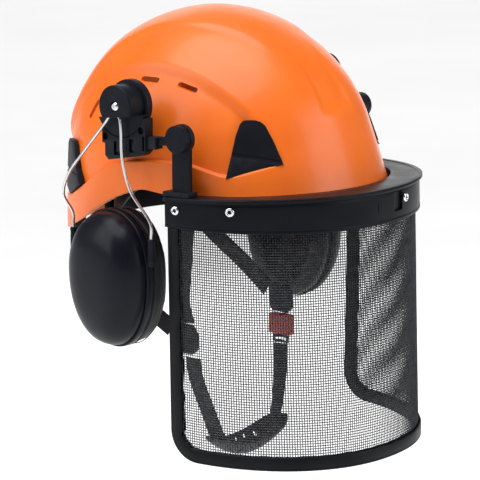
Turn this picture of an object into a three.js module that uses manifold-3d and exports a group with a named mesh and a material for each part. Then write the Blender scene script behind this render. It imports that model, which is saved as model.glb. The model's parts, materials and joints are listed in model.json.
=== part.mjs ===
// Forestry helmet: a vented climbing-style shell with a woven steel-mesh visor, two ear
// muffs on spring-wire yokes and a four-point chin strap with a chin cup.
// Millimetres, +Z up, the wearer looks along -Y and the wearer's right hand is at -X.
// The origin is the centre of the headband ring, level with the top of the brow guard.
import * as THREE from 'three';
import { mergeVertices } from 'three/addons/utils/BufferGeometryUtils.js';
import Module from 'manifold-3d';

const wasm = await Module();
wasm.setup();

// ---------------------------------------------------------------- driving dimensions
const GAP = 0.35;                       // clearance between pieces that touch

const SHELL = {
  halfWidth: 114.5, halfLength: 138.6, crownRise: 127.4, girthZ: 6.7,
  planPower: 0.975, profilePower: 1.028, thickness: 3,
};
const PANEL = {
  depth: 3.5, archTop: 95.5, archDrop: 33.5, archReach: 89, archPower: 2.3, ramp: 9, frontSlope: 1.43,
};
// The front of the shell leans out towards the rim into a short brim.
const BRIM = { out: 10.5, topZ: 40, lowZ: -8, curve: 1.6, startY: -55, fullY: -105 };
// Lower edge of the shell, as (Y, Z): high over the ears, low at the nape.
const RIM = [[-140, -6], [-60, -9], [-12, -3], [11, -11], [36, -23], [61, -37], [102, -55], [140, -58]];
// Top of the raised lower band, as (Y, Z).
const LEDGE = [[-140, 26], [-118, 23], [-84, 11], [-55, 20], [-25, 21], [5, 18], [30, 11], [62, -10], [89, -23], [140, -30]];

const VISOR = {
  topHalfWidth: 124.2, topDepth: 126.5, bottomHalfWidth: 120.5, bottomDepth: 137.6,
  backY: -46.6, bottomZ: -220.7, planPower: 0.928, cornerRadius: 26,
};
const MESH_THICKNESS = 0.8;
const MESH_OFFSET = -3.1;               // mesh middle surface, inside the visor surface
const BROW = {
  height: 28.3, lip: 3.5, lipHeight: 3.5, wallOut: 1.0, wallIn: -1.7, shellGap: 2.2, rearDrop: 4, dropFrom: -150,
};
// A shallow pocket in the brow guard's front wall: width, depth, height, middle and turn.
const POCKET = { size: [13, 3.9, 15.4], at: [13.5, -174.35, -12.5], yawDeg: 7 };
const TRIM = { width: 12, thickness: 5.6, grooveDepth: 9.4, grooveWidth: 3.2 };
const RIVET = { headRadius: 3.8, headHeight: 1.8, sideZ: -13.7, frontZ: -11 };

const HINGE = { y: -57.2, z: 42.3, radius: 11 };       // visor hinge, an axis along X
const LINK = {
  inner: 113.6, outer: 118.2, width: 17.3, footFront: -71, footRear: -44.5, footOuter: 125, footHeight: 4,
};
const ARM = {
  inner: 118.55, outer: 123.8, height: 7, rootY: -30.85, rootZ: 37.3, rootLength: 8.5, rootHeight: 9.6, rootOuter: 127.5,
};
const STUB_RADIUS = 4;

const HUB = { y: -7.75, z: 65.8, radius: 17, inner: 123.6, outer: 140, chamfer: 1, footDrop: 8.6, footTiltDeg: 7 };
const SWIVEL = { y: -3.5, radius: 25.8, outer: 128.8, play: 0.6 };   // the half-moon below the hub's flat foot
const ADAPTER = {
  plateInner: 117, plateOuter: 123.2, plateRadius: 20, blockInner: 120, blockOuter: 129.2,
  lugInner: 104, lugOuter: 121, lugFront: -14, lugRear: 12, lugBottom: 27, lugTop: 46, marks: 3,
};

const WIRE_RADIUS = 1.3;
const WIRE_LOOP = { x: 133.4, z: 59 };                 // the wire's flat top, an axis along Y
const CUP = {
  out: 118, y: 10.5, z: -78, yawDeg: -6, leanDeg: -2, halfWidth: 42.5, halfHeight: 57,
  depth: 31, wall: 2.5, rim: 6, plate: 2,
};
const CUSHION = { thickness: 18, holeHalfWidth: 22, holeHalfHeight: 36 };

const HEADBAND = { halfWidth: 79, halfLength: 98, bottomZ: -11, topZ: 11, thickness: 2 };
const SWEATBAND_THICKNESS = 5;
const NAPE = {
  radius: 84, centreY: 16, z: -34, stripHeight: 5, stripOffset: 7.3, strip: 1.6, pinionRadius: 4.4,
};
const WEBBING = { width: 16, thickness: 1.5 };

// ---------------------------------------------------------------- materials
const material = (color, roughness, metalness = 0) =>
  new THREE.MeshStandardMaterial({ color, roughness, metalness });
const ORANGE = material(0xee6a24, 0.38);
const BLACK = material(0x24262c, 0.5);
const CUP_BLACK = material(0x1c1e26, 0.32);
const WEB_BLACK = material(0x1f1d24, 0.9);
const PAD_BLACK = material(0x232327, 0.75);
const FOAM_GREY = material(0x4a4a4d, 0.95);
const STEEL = material(0xc9cbd0, 0.22, 1);
const CHROME = material(0xe4e6ea, 0.12, 1);
const MESH_GREY = material(0x2b2c31, 0.45, 0.6);
const CHIN_GREY = material(0x3a3a42, 0.6);
const BUCKLE_RED = material(0xb8431c, 0.4);

// ---------------------------------------------------------------- solids
const group = new THREE.Group();

function addPart(name, geometry, mat) {
  const mesh = new THREE.Mesh(geometry, mat);
  mesh.name = name;
  group.add(mesh);
}

function toManifold(geometry) {
  const bare = geometry.clone();
  for (const key of Object.keys(bare.attributes)) {
    if (key !== 'position') bare.deleteAttribute(key);
  }
  const merged = mergeVertices(bare, 1e-4);
  return new wasm.Manifold(new wasm.Mesh({
    numProp: 3,
    vertProperties: new Float32Array(merged.attributes.position.array),
    triVerts: new Uint32Array(merged.index.array),
  }));
}

function fromManifold(solid) {
  const mesh = solid.getMesh();
  const positions = new Float32Array(mesh.numVert * 3);
  for (let i = 0; i < mesh.numVert; i += 1) {
    for (let k = 0; k < 3; k += 1) positions[3 * i + k] = mesh.vertProperties[mesh.numProp * i + k];
  }
  const geometry = new THREE.BufferGeometry();
  geometry.setAttribute('position', new THREE.BufferAttribute(positions, 3));
  geometry.setIndex(new THREE.BufferAttribute(new Uint32Array(mesh.triVerts), 1));
  return geometry;
}

function combine(base, { add = [], cut = [] }) {
  let solid = toManifold(base);
  for (const other of add) solid = solid.add(toManifold(other));
  for (const other of cut) solid = solid.subtract(toManifold(other));
  return fromManifold(solid);
}

function flipWinding(geometry) {
  const index = geometry.index;
  for (let i = 0; i < index.count; i += 3) {
    const a = index.getX(i);
    index.setX(i, index.getX(i + 1));
    index.setX(i + 1, a);
  }
  return geometry;
}

// Every side piece is drawn on the wearer's left (+X) and mirrored for the right.
function forSide(geometry, side) {
  const bare = geometry.clone();
  for (const key of Object.keys(bare.attributes)) {
    if (key !== 'position') bare.deleteAttribute(key);
  }
  const merged = mergeVertices(bare, 1e-4);
  if (side > 0) return merged;
  merged.scale(-1, 1, 1);
  return flipWinding(merged);
}

const SIDES = { left: 1, right: -1 };

// Triangles that close a loop of points. A bowed loop fans round its middle point; a flat one
// with hollows in it is triangulated in its own plane.
function capTriangles(row, points, start, flat) {
  const columns = row.length;
  if (!flat) {
    points.push(row.reduce((sum, p) => sum.add(p), new THREE.Vector3()).divideScalar(columns));
    const middle = points.length - 1;
    return row.map((_, j) => [middle, start + j, start + ((j + 1) % columns)]);
  }
  const normal = new THREE.Vector3();
  row.forEach((p, j) => normal.add(p.clone().cross(row[(j + 1) % columns])));
  normal.normalize();
  const across = row[1].clone().sub(row[0]).normalize();
  const up = normal.clone().cross(across);
  const outline = row.map((p) => new THREE.Vector2(p.dot(across), p.dot(up)));
  return THREE.ShapeUtils.triangulateShape(outline, []).map(([a, b, c]) => {
    const area = outline[b].clone().sub(outline[a]).cross(outline[c].clone().sub(outline[a]));
    return (area > 0 ? [a, b, c] : [a, c, b]).map((j) => start + j);
  });
}

// A closed body from rows of points joined in order, each row a closed loop.
function loft(rows, flatCaps = false) {
  const columns = rows[0].length;
  const points = rows.flat();
  const index = [];
  for (let i = 0; i + 1 < rows.length; i += 1) {
    for (let j = 0; j < columns; j += 1) {
      const k = (j + 1) % columns;
      const [a, b, c, d] = [i * columns + j, i * columns + k, (i + 1) * columns + k, (i + 1) * columns + j];
      index.push(a, b, c, a, c, d);
    }
  }
  const last = rows.length - 1;
  for (const [a, b, c] of capTriangles(rows[0], points, 0, flatCaps)) index.push(a, c, b);
  for (const [a, b, c] of capTriangles(rows[last], points, last * columns, flatCaps)) index.push(a, b, c);
  return closedGeometry(points, index);
}

// A ring-shaped body: sections joined in order and the last joined to the first.
function loftRing(rows) {
  const columns = rows[0].length;
  const index = [];
  for (let i = 0; i < rows.length; i += 1) {
    const next = (i + 1) % rows.length;
    for (let j = 0; j < columns; j += 1) {
      const k = (j + 1) % columns;
      const [a, b, c, d] = [i * columns + j, i * columns + k, next * columns + k, next * columns + j];
      index.push(a, b, c, a, c, d);
    }
  }
  return closedGeometry(rows.flat(), index);
}

function closedGeometry(points, index) {
  const geometry = new THREE.BufferGeometry().setFromPoints(points);
  geometry.setIndex(index);
  return signedVolume(geometry) < 0 ? flipWinding(geometry) : geometry;
}

function signedVolume(geometry) {
  const p = geometry.attributes.position;
  const [a, b, c] = [new THREE.Vector3(), new THREE.Vector3(), new THREE.Vector3()];
  let volume = 0;
  for (let i = 0; i < geometry.index.count; i += 3) {
    a.fromBufferAttribute(p, geometry.index.getX(i));
    b.fromBufferAttribute(p, geometry.index.getX(i + 1));
    c.fromBufferAttribute(p, geometry.index.getX(i + 2));
    volume += a.dot(b.cross(c)) / 6;
  }
  return volume;
}

// Straight lines between listed (position, value) pairs.
function profile(table, at) {
  if (at <= table[0][0]) return table[0][1];
  for (let i = 0; i + 1 < table.length; i += 1) {
    const [x0, v0] = table[i];
    const [x1, v1] = table[i + 1];
    if (at <= x1) return THREE.MathUtils.lerp(v0, v1, (at - x0) / (x1 - x0));
  }
  return table[table.length - 1][1];
}

const power = (value, exponent) => Math.sign(value) * Math.abs(value) ** exponent;
const degrees = THREE.MathUtils.degToRad;
const vec = (x, y, z) => new THREE.Vector3(x, y, z);

function box(x0, x1, y0, y1, z0, z1) {
  const geometry = new THREE.BoxGeometry(x1 - x0, y1 - y0, z1 - z0);
  return geometry.translate((x0 + x1) / 2, (y0 + y1) / 2, (z0 + z1) / 2);
}

// A cylinder along X between two distances from the middle plane.
function discX(radius, x0, x1, y, z, segments = 32) {
  const geometry = new THREE.CylinderGeometry(radius, radius, x1 - x0, segments);
  return geometry.rotateZ(-Math.PI / 2).translate((x0 + x1) / 2, y, z);
}

// A flat plate whose outline lies in the Y-Z plane, from x0 to x1.
function plateX(outline, x0, x1) {
  const shape = new THREE.Shape(outline.map(([y, z]) => new THREE.Vector2(y, z)));
  const geometry = new THREE.ExtrudeGeometry(shape, { depth: x1 - x0, bevelEnabled: false });
  const axes = new THREE.Matrix4().makeBasis(vec(0, 1, 0), vec(0, 0, 1), vec(1, 0, 0));
  return geometry.applyMatrix4(axes).translate(x0, 0, 0);
}

// A round wire swept along a list of points.
function tube(points, radius, sides, steps) {
  const path = new THREE.CatmullRomCurve3(points, false, 'centripetal');
  const shape = new THREE.Shape();
  for (let i = 0; i < sides; i += 1) {
    const angle = (2 * Math.PI * i) / sides;
    const [x, y] = [radius * Math.cos(angle), radius * Math.sin(angle)];
    if (i === 0) shape.moveTo(x, y);
    else shape.lineTo(x, y);
  }
  return new THREE.ExtrudeGeometry(shape, { steps, bevelEnabled: false, extrudePath: path });
}

// ---------------------------------------------------------------- shell
const rimZ = (y) => profile(RIM, y);
const ledgeZ = (y) => profile(LEDGE, y);
const arch = (y) => PANEL.archTop - PANEL.archDrop * (Math.abs(y) / PANEL.archReach) ** PANEL.archPower;
const archZ = (y) => (y < -PANEL.archReach
  ? arch(PANEL.archReach) + PANEL.frontSlope * (y + PANEL.archReach)
  : arch(y));

// How far the shell stands out from the nominal surface at the front.
function brimOut(y, z) {
  const front = THREE.MathUtils.smoothstep((y - BRIM.startY) / (BRIM.fullY - BRIM.startY), 0, 1);
  const down = THREE.MathUtils.clamp((BRIM.topZ - z) / (BRIM.topZ - BRIM.lowZ), 0, 1);
  return BRIM.out * front * down ** BRIM.curve;
}

// How far the side panel, above the ledge, lies below the nominal surface.
function panelDepth(y, z) {
  return PANEL.depth * THREE.MathUtils.smoothstep((archZ(y) - z) / PANEL.ramp, 0, 1);
}

function shellNominal(azimuth, latitude, inset) {
  const flat = Math.abs(Math.cos(latitude)) ** SHELL.profilePower;
  return vec(
    (SHELL.halfWidth - inset) * power(Math.cos(azimuth), SHELL.planPower) * flat,
    (SHELL.halfLength - inset) * power(Math.sin(azimuth), SHELL.planPower) * flat,
    SHELL.girthZ + (SHELL.crownRise - inset) * power(Math.sin(latitude), SHELL.profilePower),
  );
}

// Rows from the crown down to the ledge, then down the band to the rim and, if asked, straight
// on down. The inside follows the outside, with its ledge a wall's thickness lower.
function shellRows({ columns, inset = 0, upper = 15, ledgeDrop = 0, tailZ = null, recessed = true }) {
  const azimuths = Array.from({ length: columns }, (_, j) => (2 * Math.PI * (j + 0.5)) / columns);
  const latitudeOf = (height) => Math.asin(
    THREE.MathUtils.clamp((height - SHELL.girthZ) / (SHELL.crownRise - inset), 0, 1) ** (1 / SHELL.profilePower),
  );
  const ledgeAt = (azimuth) => ledgeZ(shellNominal(azimuth, 0, inset).y) - ledgeDrop;
  const panelPoint = (azimuth, share) => {
    const stop = ledgeAt(azimuth) + 0.6;
    const latitude = THREE.MathUtils.lerp(Math.PI / 2, latitudeOf(stop), share);
    const p = shellNominal(azimuth, latitude, inset);
    if (share === 1) p.z = stop;
    const around = Math.hypot(p.x, p.y);
    const depth = recessed && around > 1 ? panelDepth(p.y, p.z) : 0;
    const scale = 1 + (brimOut(p.y, p.z) - depth * Math.cos(latitude)) / Math.max(around, 1);
    return vec(p.x * scale, p.y * scale, p.z - depth * Math.sin(latitude));
  };
  const bandPoint = (azimuth, share) => {
    const rimY = shellNominal(azimuth, 0, inset).y;
    const height = THREE.MathUtils.lerp(ledgeAt(azimuth) - 0.6, rimZ(rimY), share);
    const p = shellNominal(azimuth, latitudeOf(height), inset);
    const scale = 1 + brimOut(p.y, height) / Math.hypot(p.x, p.y);
    return vec(p.x * scale, p.y * scale, height);
  };
  const rows = [];
  for (let i = 1; i <= upper; i += 1) {
    rows.push(azimuths.map((azimuth) => panelPoint(azimuth, (i - 0.5) / (upper - 0.5))));
  }
  for (const share of [0, 0.35, 0.7, 1]) rows.push(azimuths.map((azimuth) => bandPoint(azimuth, share)));
  if (tailZ !== null) rows.push(azimuths.map((azimuth) => bandPoint(azimuth, 1).setZ(tailZ)));
  return rows;
}

const BELOW_ALL = -75;
const hollow = (inset) => loft(shellRows({
  columns: 40, upper: 8, inset, ledgeDrop: SHELL.thickness, tailZ: BELOW_ALL,
}));
const shellOuter = loft(shellRows({ columns: 64, upper: 12 }));
// Swollen, full-bodied copies: the first, with its mirror image, cuts the backs of the pieces
// seated on the shell; the second, without side panels, trims the lamp clips so they hug it.
const swollenShell = (by, recessed) => loft(shellRows({
  columns: 64, upper: 12, inset: -by, tailZ: BELOW_ALL, recessed,
}));
const shellBlank = swollenShell(GAP, true);
const shellBlanks = [shellBlank, forSide(shellBlank, -1)];
const CLIP_THICKNESS = 1.5;
const clipLimit = swollenShell(GAP + CLIP_THICKNESS, false);

// Vent slots on the side panels: middle (Y, Z), length and slope.
const VENTS = [
  { y: 1.5, z: 81, length: 19, slopeDeg: 0 },
  { y: -36, z: 77.5, length: 19, slopeDeg: 14 },
  { y: 60, z: 52, length: 18, slopeDeg: -62 },
];
function ventCutters() {
  const cutters = [];
  for (const side of Object.values(SIDES)) {
    for (const vent of VENTS) {
      const slot = new THREE.BoxGeometry(80, vent.length, 3.6);
      slot.rotateX(degrees(vent.slopeDeg)).translate(85, vent.y, vent.z);
      cutters.push(forSide(slot, side));
    }
  }
  return cutters;
}
addPart('shell', combine(shellOuter, { cut: [hollow(SHELL.thickness), ...ventCutters()] }), ORANGE);

// ---------------------------------------------------------------- lamp clips
// Outline in the clip's own plane: u runs forward along the shell, v runs up.
const CLIPS = {
  front: {
    at: [79, -98, 36], yawDeg: -39, tiltDeg: 15, slotV: -9, slotTiltDeg: 9, face: -1.5,
    outline: [
      [-20.7, -26], [-16, -6], [-12.9, 8], [-9.6, 17.4], [-7.2, 20], [-4.6, 20.6], [2.6, 20.5], [6.6, 19.3],
      [10.4, 16.3], [17, 4], [25, -14.5],
    ],
  },
  rear: {
    at: [91, 86, 0], yawDeg: 32.6, tiltDeg: 2, slotV: -2, slotTiltDeg: 0, face: -0.1,
    outline: [[-14, -17], [-12, 20], [-8, 24], [5, 24], [9, 20], [15.6, 2], [25, -10], [-4, -23]],
  },
};
function lampClip(clip) {
  const outline = new THREE.Shape(clip.outline.map(([u, v]) => new THREE.Vector2(-u, v)));
  const body = new THREE.ExtrudeGeometry(outline, { depth: 22, bevelEnabled: false }).translate(0, 0, clip.face - 22);
  const slot = new THREE.BoxGeometry(90, 3, 8).rotateZ(degrees(clip.slotTiltDeg));
  slot.translate(0, clip.slotV, clip.face + 3.4);
  const place = (geometry) => {
    const [yaw, tilt] = [degrees(clip.yawDeg), degrees(clip.tiltDeg)];
    const normal = vec(Math.cos(yaw) * Math.cos(tilt), Math.sin(yaw) * Math.cos(tilt), Math.sin(tilt));
    const rearward = vec(-Math.sin(yaw), Math.cos(yaw), 0);
    const basis = new THREE.Matrix4().makeBasis(rearward, normal.clone().cross(rearward), normal);
    return geometry.applyMatrix4(basis).translate(...clip.at);
  };
  const hugging = fromManifold(toManifold(place(body)).intersect(toManifold(clipLimit)));
  return combine(hugging, { cut: [place(slot), ...shellBlanks] });
}
for (const [end, clip] of Object.entries(CLIPS)) {
  const geometry = lampClip(clip);
  for (const [name, side] of Object.entries(SIDES)) {
    addPart(`lamp_clip_${end}_${name}`, forSide(geometry, side), BLACK);
  }
}

// ---------------------------------------------------------------- suspension
// A point on an ellipse round the head.
const ringPoint = (a, b, angle, z) => vec(a * Math.cos(angle), b * Math.sin(angle), z);

// A strip standing on edge along an arc of an ellipse.
function standingStrip({ a, b, from, to, steps, thickness, bottom, top, centreY = 0 }) {
  const rows = [];
  for (let i = 0; i <= steps; i += 1) {
    const angle = THREE.MathUtils.lerp(from, to, i / steps);
    const outer = ringPoint(a, b, angle, 0);
    const inner = ringPoint(a - thickness, b - thickness, angle, 0);
    const low = typeof bottom === 'function' ? bottom(outer.y) : bottom;
    rows.push([
      vec(outer.x, outer.y + centreY, low), vec(outer.x, outer.y + centreY, top),
      vec(inner.x, inner.y + centreY, top), vec(inner.x, inner.y + centreY, low),
    ]);
  }
  return loft(rows);
}

const REAR_END = degrees(62);
addPart('headband', standingStrip({
  a: HEADBAND.halfWidth, b: HEADBAND.halfLength, from: Math.PI - REAR_END, to: 2 * Math.PI + REAR_END,
  steps: 48, thickness: HEADBAND.thickness, top: HEADBAND.topZ,
  bottom: (y) => HEADBAND.bottomZ - 32 * THREE.MathUtils.smoothstep(y, 15, 75),
}), BLACK);
addPart('sweatband', standingStrip({
  a: HEADBAND.halfWidth - HEADBAND.thickness - GAP, b: HEADBAND.halfLength - HEADBAND.thickness - GAP,
  from: degrees(195), to: degrees(345), steps: 28, thickness: SWEATBAND_THICKNESS, top: HEADBAND.topZ + 2,
  bottom: HEADBAND.bottomZ - 2,
}), PAD_BLACK);

// The racks are arcs about one upright axis behind the head, one above the other.
const rackZ = { right: NAPE.z + NAPE.stripOffset, left: NAPE.z - NAPE.stripOffset };
for (const [name, side] of Object.entries(SIDES)) {
  const arc = standingStrip({
    a: NAPE.radius, b: NAPE.radius, from: degrees(34), to: degrees(101), steps: 16, thickness: NAPE.strip,
    bottom: rackZ[name] - NAPE.stripHeight / 2, top: rackZ[name] + NAPE.stripHeight / 2, centreY: NAPE.centreY,
  });
  addPart(`rack_${name}`, forSide(arc, side), BLACK);
}
function arcBlock(inner, outer, halfAngle, low, high, steps = 10) {
  const rows = [];
  for (let i = 0; i <= steps; i += 1) {
    const angle = degrees(90) + THREE.MathUtils.lerp(-halfAngle, halfAngle, i / steps);
    const at = (r, z) => vec(r * Math.cos(angle), NAPE.centreY + r * Math.sin(angle), z);
    rows.push([at(outer, low), at(outer, high), at(inner, high), at(inner, low)]);
  }
  return loft(rows);
}
const housingOuter = NAPE.radius + 6;
const pinionHole = new THREE.CylinderGeometry(5, 5, 20, 20).translate(0, NAPE.centreY + housingOuter, NAPE.z);
addPart('ratchet_housing', combine(
  arcBlock(NAPE.radius - 6, housingOuter, degrees(25), NAPE.z - 16, NAPE.z + 16),
  { cut: [arcBlock(NAPE.radius - NAPE.strip - 0.6, NAPE.radius + 0.6, degrees(27), NAPE.z - 10.4, NAPE.z + 10.4), pinionHole] },
), BLACK);
const knobBase = NAPE.centreY + housingOuter + 0.6;
const knobGrips = Array.from({ length: 12 }, (_, i) => {
  const angle = (2 * Math.PI * i) / 12;
  return new THREE.CylinderGeometry(2, 2, 30, 8).translate(16.2 * Math.cos(angle), 0, 16.2 * Math.sin(angle));
});
const knobBody = new THREE.LatheGeometry([
  [0, -9.2], [NAPE.pinionRadius, -9.2], [NAPE.pinionRadius, 0], [15.5, 0], [15.5, 9], [13.5, 11], [0, 11],
].map(([r, h]) => new THREE.Vector2(r, h)), 36);
addPart('ratchet_knob', combine(knobBody, { cut: knobGrips }).translate(0, knobBase, NAPE.z), BLACK);

// Keys stand on the inside of the shell and carry the crown cradle's four ends.
const CRADLE = { azimuthsDeg: [40, 140, 220, 320], a: 93, b: 112, footZ: 9, topZ: 101, width: 18, thickness: 1.6 };
const KEY_NAMES = ['rear_left', 'rear_right', 'front_right', 'front_left'];
function cradlePoint(azimuth, turn, lift) {
  return vec(
    (CRADLE.a + lift) * Math.cos(azimuth) * Math.cos(turn),
    (CRADLE.b + lift) * Math.sin(azimuth) * Math.cos(turn),
    CRADLE.footZ + (CRADLE.topZ + lift - CRADLE.footZ) * Math.sin(turn),
  );
}
function cradleStrap(azimuth) {
  const rows = [];
  const steps = 22;
  for (let i = 0; i <= steps; i += 1) {
    const turn = (Math.PI * i) / steps;
    const outer = cradlePoint(azimuth, turn, CRADLE.thickness);
    const inner = cradlePoint(azimuth, turn, 0);
    const across = vec(-Math.sin(azimuth), Math.cos(azimuth), 0).multiplyScalar(CRADLE.width / 2);
    rows.push([
      outer.clone().add(across), outer.clone().sub(across),
      inner.clone().sub(across), inner.clone().add(across),
    ]);
  }
  return loft(rows);
}
addPart('crown_cradle', combine(
  cradleStrap(degrees(CRADLE.azimuthsDeg[0])), { add: [cradleStrap(degrees(CRADLE.azimuthsDeg[1]))] },
), WEB_BLACK);
CRADLE.azimuthsDeg.forEach((azimuthDeg, i) => {
  const azimuth = degrees(azimuthDeg);
  const foot = cradlePoint(azimuth, 0, CRADLE.thickness + 0.5);
  const key = new THREE.BoxGeometry(30, 22, 20).translate(16.5, 0, 0).rotateZ(Math.atan2(foot.y, foot.x));
  key.translate(foot.x, foot.y, foot.z + 3);
  const seated = toManifold(key).intersect(toManifold(hollow(SHELL.thickness + GAP)));
  addPart(`suspension_key_${KEY_NAMES[i]}`, fromManifold(seated), BLACK);
});

// ---------------------------------------------------------------- muff adapters and visor arms
const TOWARD_HINGE = vec(0, HINGE.y - ARM.rootY, HINGE.z - ARM.rootZ);

// A round plate behind the hub, a thin slab hanging below it and a lug that ties them to the
// shell. The slab is hollowed for the half-moon and marked with holes and slots.
function adapterGeometry() {
  const plate = discX(ADAPTER.plateRadius, ADAPTER.plateInner, ADAPTER.plateOuter, HUB.y, HUB.z, 40);
  const slab = plateX([
    [15.4, 52], [15.4, 34], [12.4, 33.5], [12.4, 23.8], [8.7, 20.5], [-26.6, 27.1], [-30.5, 30.7], [-30.5, 57],
    [-22, 57], [-14, 52],
  ], ADAPTER.blockInner, ADAPTER.blockOuter);
  const lug = box(
    ADAPTER.lugInner, ADAPTER.lugOuter, ADAPTER.lugFront, ADAPTER.lugRear, ADAPTER.lugBottom, ADAPTER.lugTop,
  );
  const neck = box(ADAPTER.plateInner, ADAPTER.blockInner + 1, ADAPTER.lugFront, ADAPTER.lugRear, 40, 52);
  const face = ADAPTER.blockOuter - ADAPTER.marks;
  const mark = (y0, y1, z0, z1) => box(face, 140, y0, y1, z0, z1);
  const cut = [
    discX(SWIVEL.radius + SWIVEL.play, ADAPTER.plateOuter, 140, SWIVEL.y, HUB.z, 48),
    discX(3, face, 140, 12.2, 39.2, 16), discX(3, face, 140, -25.8, 47, 16),
    mark(-0.2, 3.1, 24.7, 36), mark(-3.2, 0, 24.7, 27.8),
    mark(-16.5, -13, 28.5, 39.5), mark(-18, -16, 28.5, 31), mark(-18, -16, 37, 39.5),
    mark(-29.4, -27.3, 31, 43), ...shellBlanks,
  ];
  return combine(plate, { add: [slab, lug, neck], cut });
}
function armGeometry() {
  const along = TOWARD_HINGE.clone().normalize();
  const across = vec(0, -along.z, along.y).multiplyScalar(ARM.height / 2);
  const root = vec(0, ARM.rootY, ARM.rootZ);
  const tip = vec(0, HINGE.y, HINGE.z);
  const corners = [root.clone().add(across), root.clone().sub(across), tip.clone().sub(across), tip.clone().add(across)];
  const bar = plateX(corners.map((p) => [p.y, p.z]), ARM.inner, ARM.outer);
  const squareRoot = box(ARM.inner - 2, ARM.rootOuter + 2, ARM.rootY, ARM.rootY + 20, 20, 60);
  const thickRoot = box(
    ARM.inner, ARM.rootOuter, ARM.rootY - ARM.rootLength, ARM.rootY,
    ARM.rootZ - ARM.rootHeight / 2 + 0.6, ARM.rootZ + ARM.rootHeight / 2 + 0.6,
  );
  return combine(bar, {
    add: [discX(HINGE.radius, ARM.inner, ARM.outer, HINGE.y, HINGE.z, 36), thickRoot],
    cut: [squareRoot, discX(STUB_RADIUS + 0.3, ARM.inner - 1, ARM.inner + 4, HINGE.y, HINGE.z, 24)],
  });
}
// Height of the brow guard's flange, which dips towards its rear ends.
const browTop = (y) => -BROW.rearDrop
  * THREE.MathUtils.clamp((y - BROW.dropFrom) / (VISOR.backY - BROW.dropFrom), 0, 1);
function linkGeometry() {
  const half = LINK.width / 2;
  const bar = plateX([
    [HINGE.y - half, 0], [HINGE.y + half, 0], [HINGE.y + half, HINGE.z], [HINGE.y - half, HINGE.z],
  ], LINK.inner, LINK.outer);
  const foot = plateX([
    [LINK.footFront, browTop(LINK.footFront) + GAP], [LINK.footRear, browTop(LINK.footRear) + GAP],
    [LINK.footRear, browTop(LINK.footRear) + GAP + LINK.footHeight],
    [LINK.footFront, browTop(LINK.footFront) + GAP + LINK.footHeight],
  ], LINK.inner, LINK.footOuter);
  return combine(bar, {
    add: [
      discX(HINGE.radius + 0.6, LINK.inner, LINK.outer, HINGE.y, HINGE.z, 36),
      discX(STUB_RADIUS, LINK.outer - 1, LINK.outer + 3.9, HINGE.y, HINGE.z, 24),
      foot,
    ],
  });
}

// ---------------------------------------------------------------- ear muffs
// The cup's own axes: w out of the head, u to the rear, v up along the cup.
const CUP_AXES = (() => {
  const yaw = degrees(CUP.yawDeg);
  const w = vec(Math.cos(yaw), -Math.sin(yaw), 0);
  const u = vec(Math.sin(yaw), Math.cos(yaw), 0);
  const v = vec(0, 0, 1);
  const lean = degrees(CUP.leanDeg);
  return {
    w,
    u: u.clone().multiplyScalar(Math.cos(lean)).addScaledVector(v, Math.sin(lean)),
    v: v.clone().multiplyScalar(Math.cos(lean)).addScaledVector(u, -Math.sin(lean)),
  };
})();
const cupPoint = (u, v, w) => vec(CUP.out, CUP.y, CUP.z)
  .addScaledVector(CUP_AXES.u, u).addScaledVector(CUP_AXES.v, v).addScaledVector(CUP_AXES.w, w);

// Egg outline: a little wider above its middle than below it.
function cupOutline(halfWidth, halfHeight, w, count) {
  return Array.from({ length: count }, (_, i) => {
    const angle = (2 * Math.PI * i) / count;
    const v = halfHeight * power(Math.sin(angle), 0.92);
    const taper = 1 + 0.07 * Math.sin(angle);
    return cupPoint(halfWidth * taper * power(Math.cos(angle), 0.92), v, w);
  });
}
const CUP_COLUMNS = 28;
function cupDome(inset) {
  const rows = [];
  const turns = inset > 0 ? [0, 25, 50, 75] : [0, 16, 33, 50, 66, 80];
  if (inset > 0) rows.push(cupOutline(CUP.halfWidth - inset, CUP.halfHeight - inset, -2, CUP_COLUMNS));
  else rows.push(cupOutline(CUP.halfWidth, CUP.halfHeight, 0, CUP_COLUMNS));
  for (const turnDeg of turns) {
    const turn = degrees(turnDeg);
    const scale = Math.cos(turn) ** 0.62;
    const w = CUP.rim + (CUP.depth - CUP.rim - inset) * Math.sin(turn) ** 0.95;
    rows.push(cupOutline((CUP.halfWidth - 2 - inset) * scale, (CUP.halfHeight - 2 - inset) * scale, w, CUP_COLUMNS));
  }
  return loft(rows);
}
function ringSolid(outerW, outerH, innerW, innerH, lowW, highW, soft) {
  const ease = soft ? 3 : 0;
  return loftRing([
    cupOutline(outerW, outerH, highW - ease, CUP_COLUMNS), cupOutline(outerW - ease, outerH - ease, highW, CUP_COLUMNS),
    cupOutline(innerW + ease, innerH + ease, highW, CUP_COLUMNS), cupOutline(innerW, innerH, highW - ease, CUP_COLUMNS),
    cupOutline(innerW, innerH, lowW + ease, CUP_COLUMNS), cupOutline(innerW + ease, innerH + ease, lowW, CUP_COLUMNS),
    cupOutline(outerW - ease, outerH - ease, lowW, CUP_COLUMNS), cupOutline(outerW, outerH, lowW + ease, CUP_COLUMNS),
  ].filter((_, i) => soft || i % 2 === 1));
}

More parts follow.
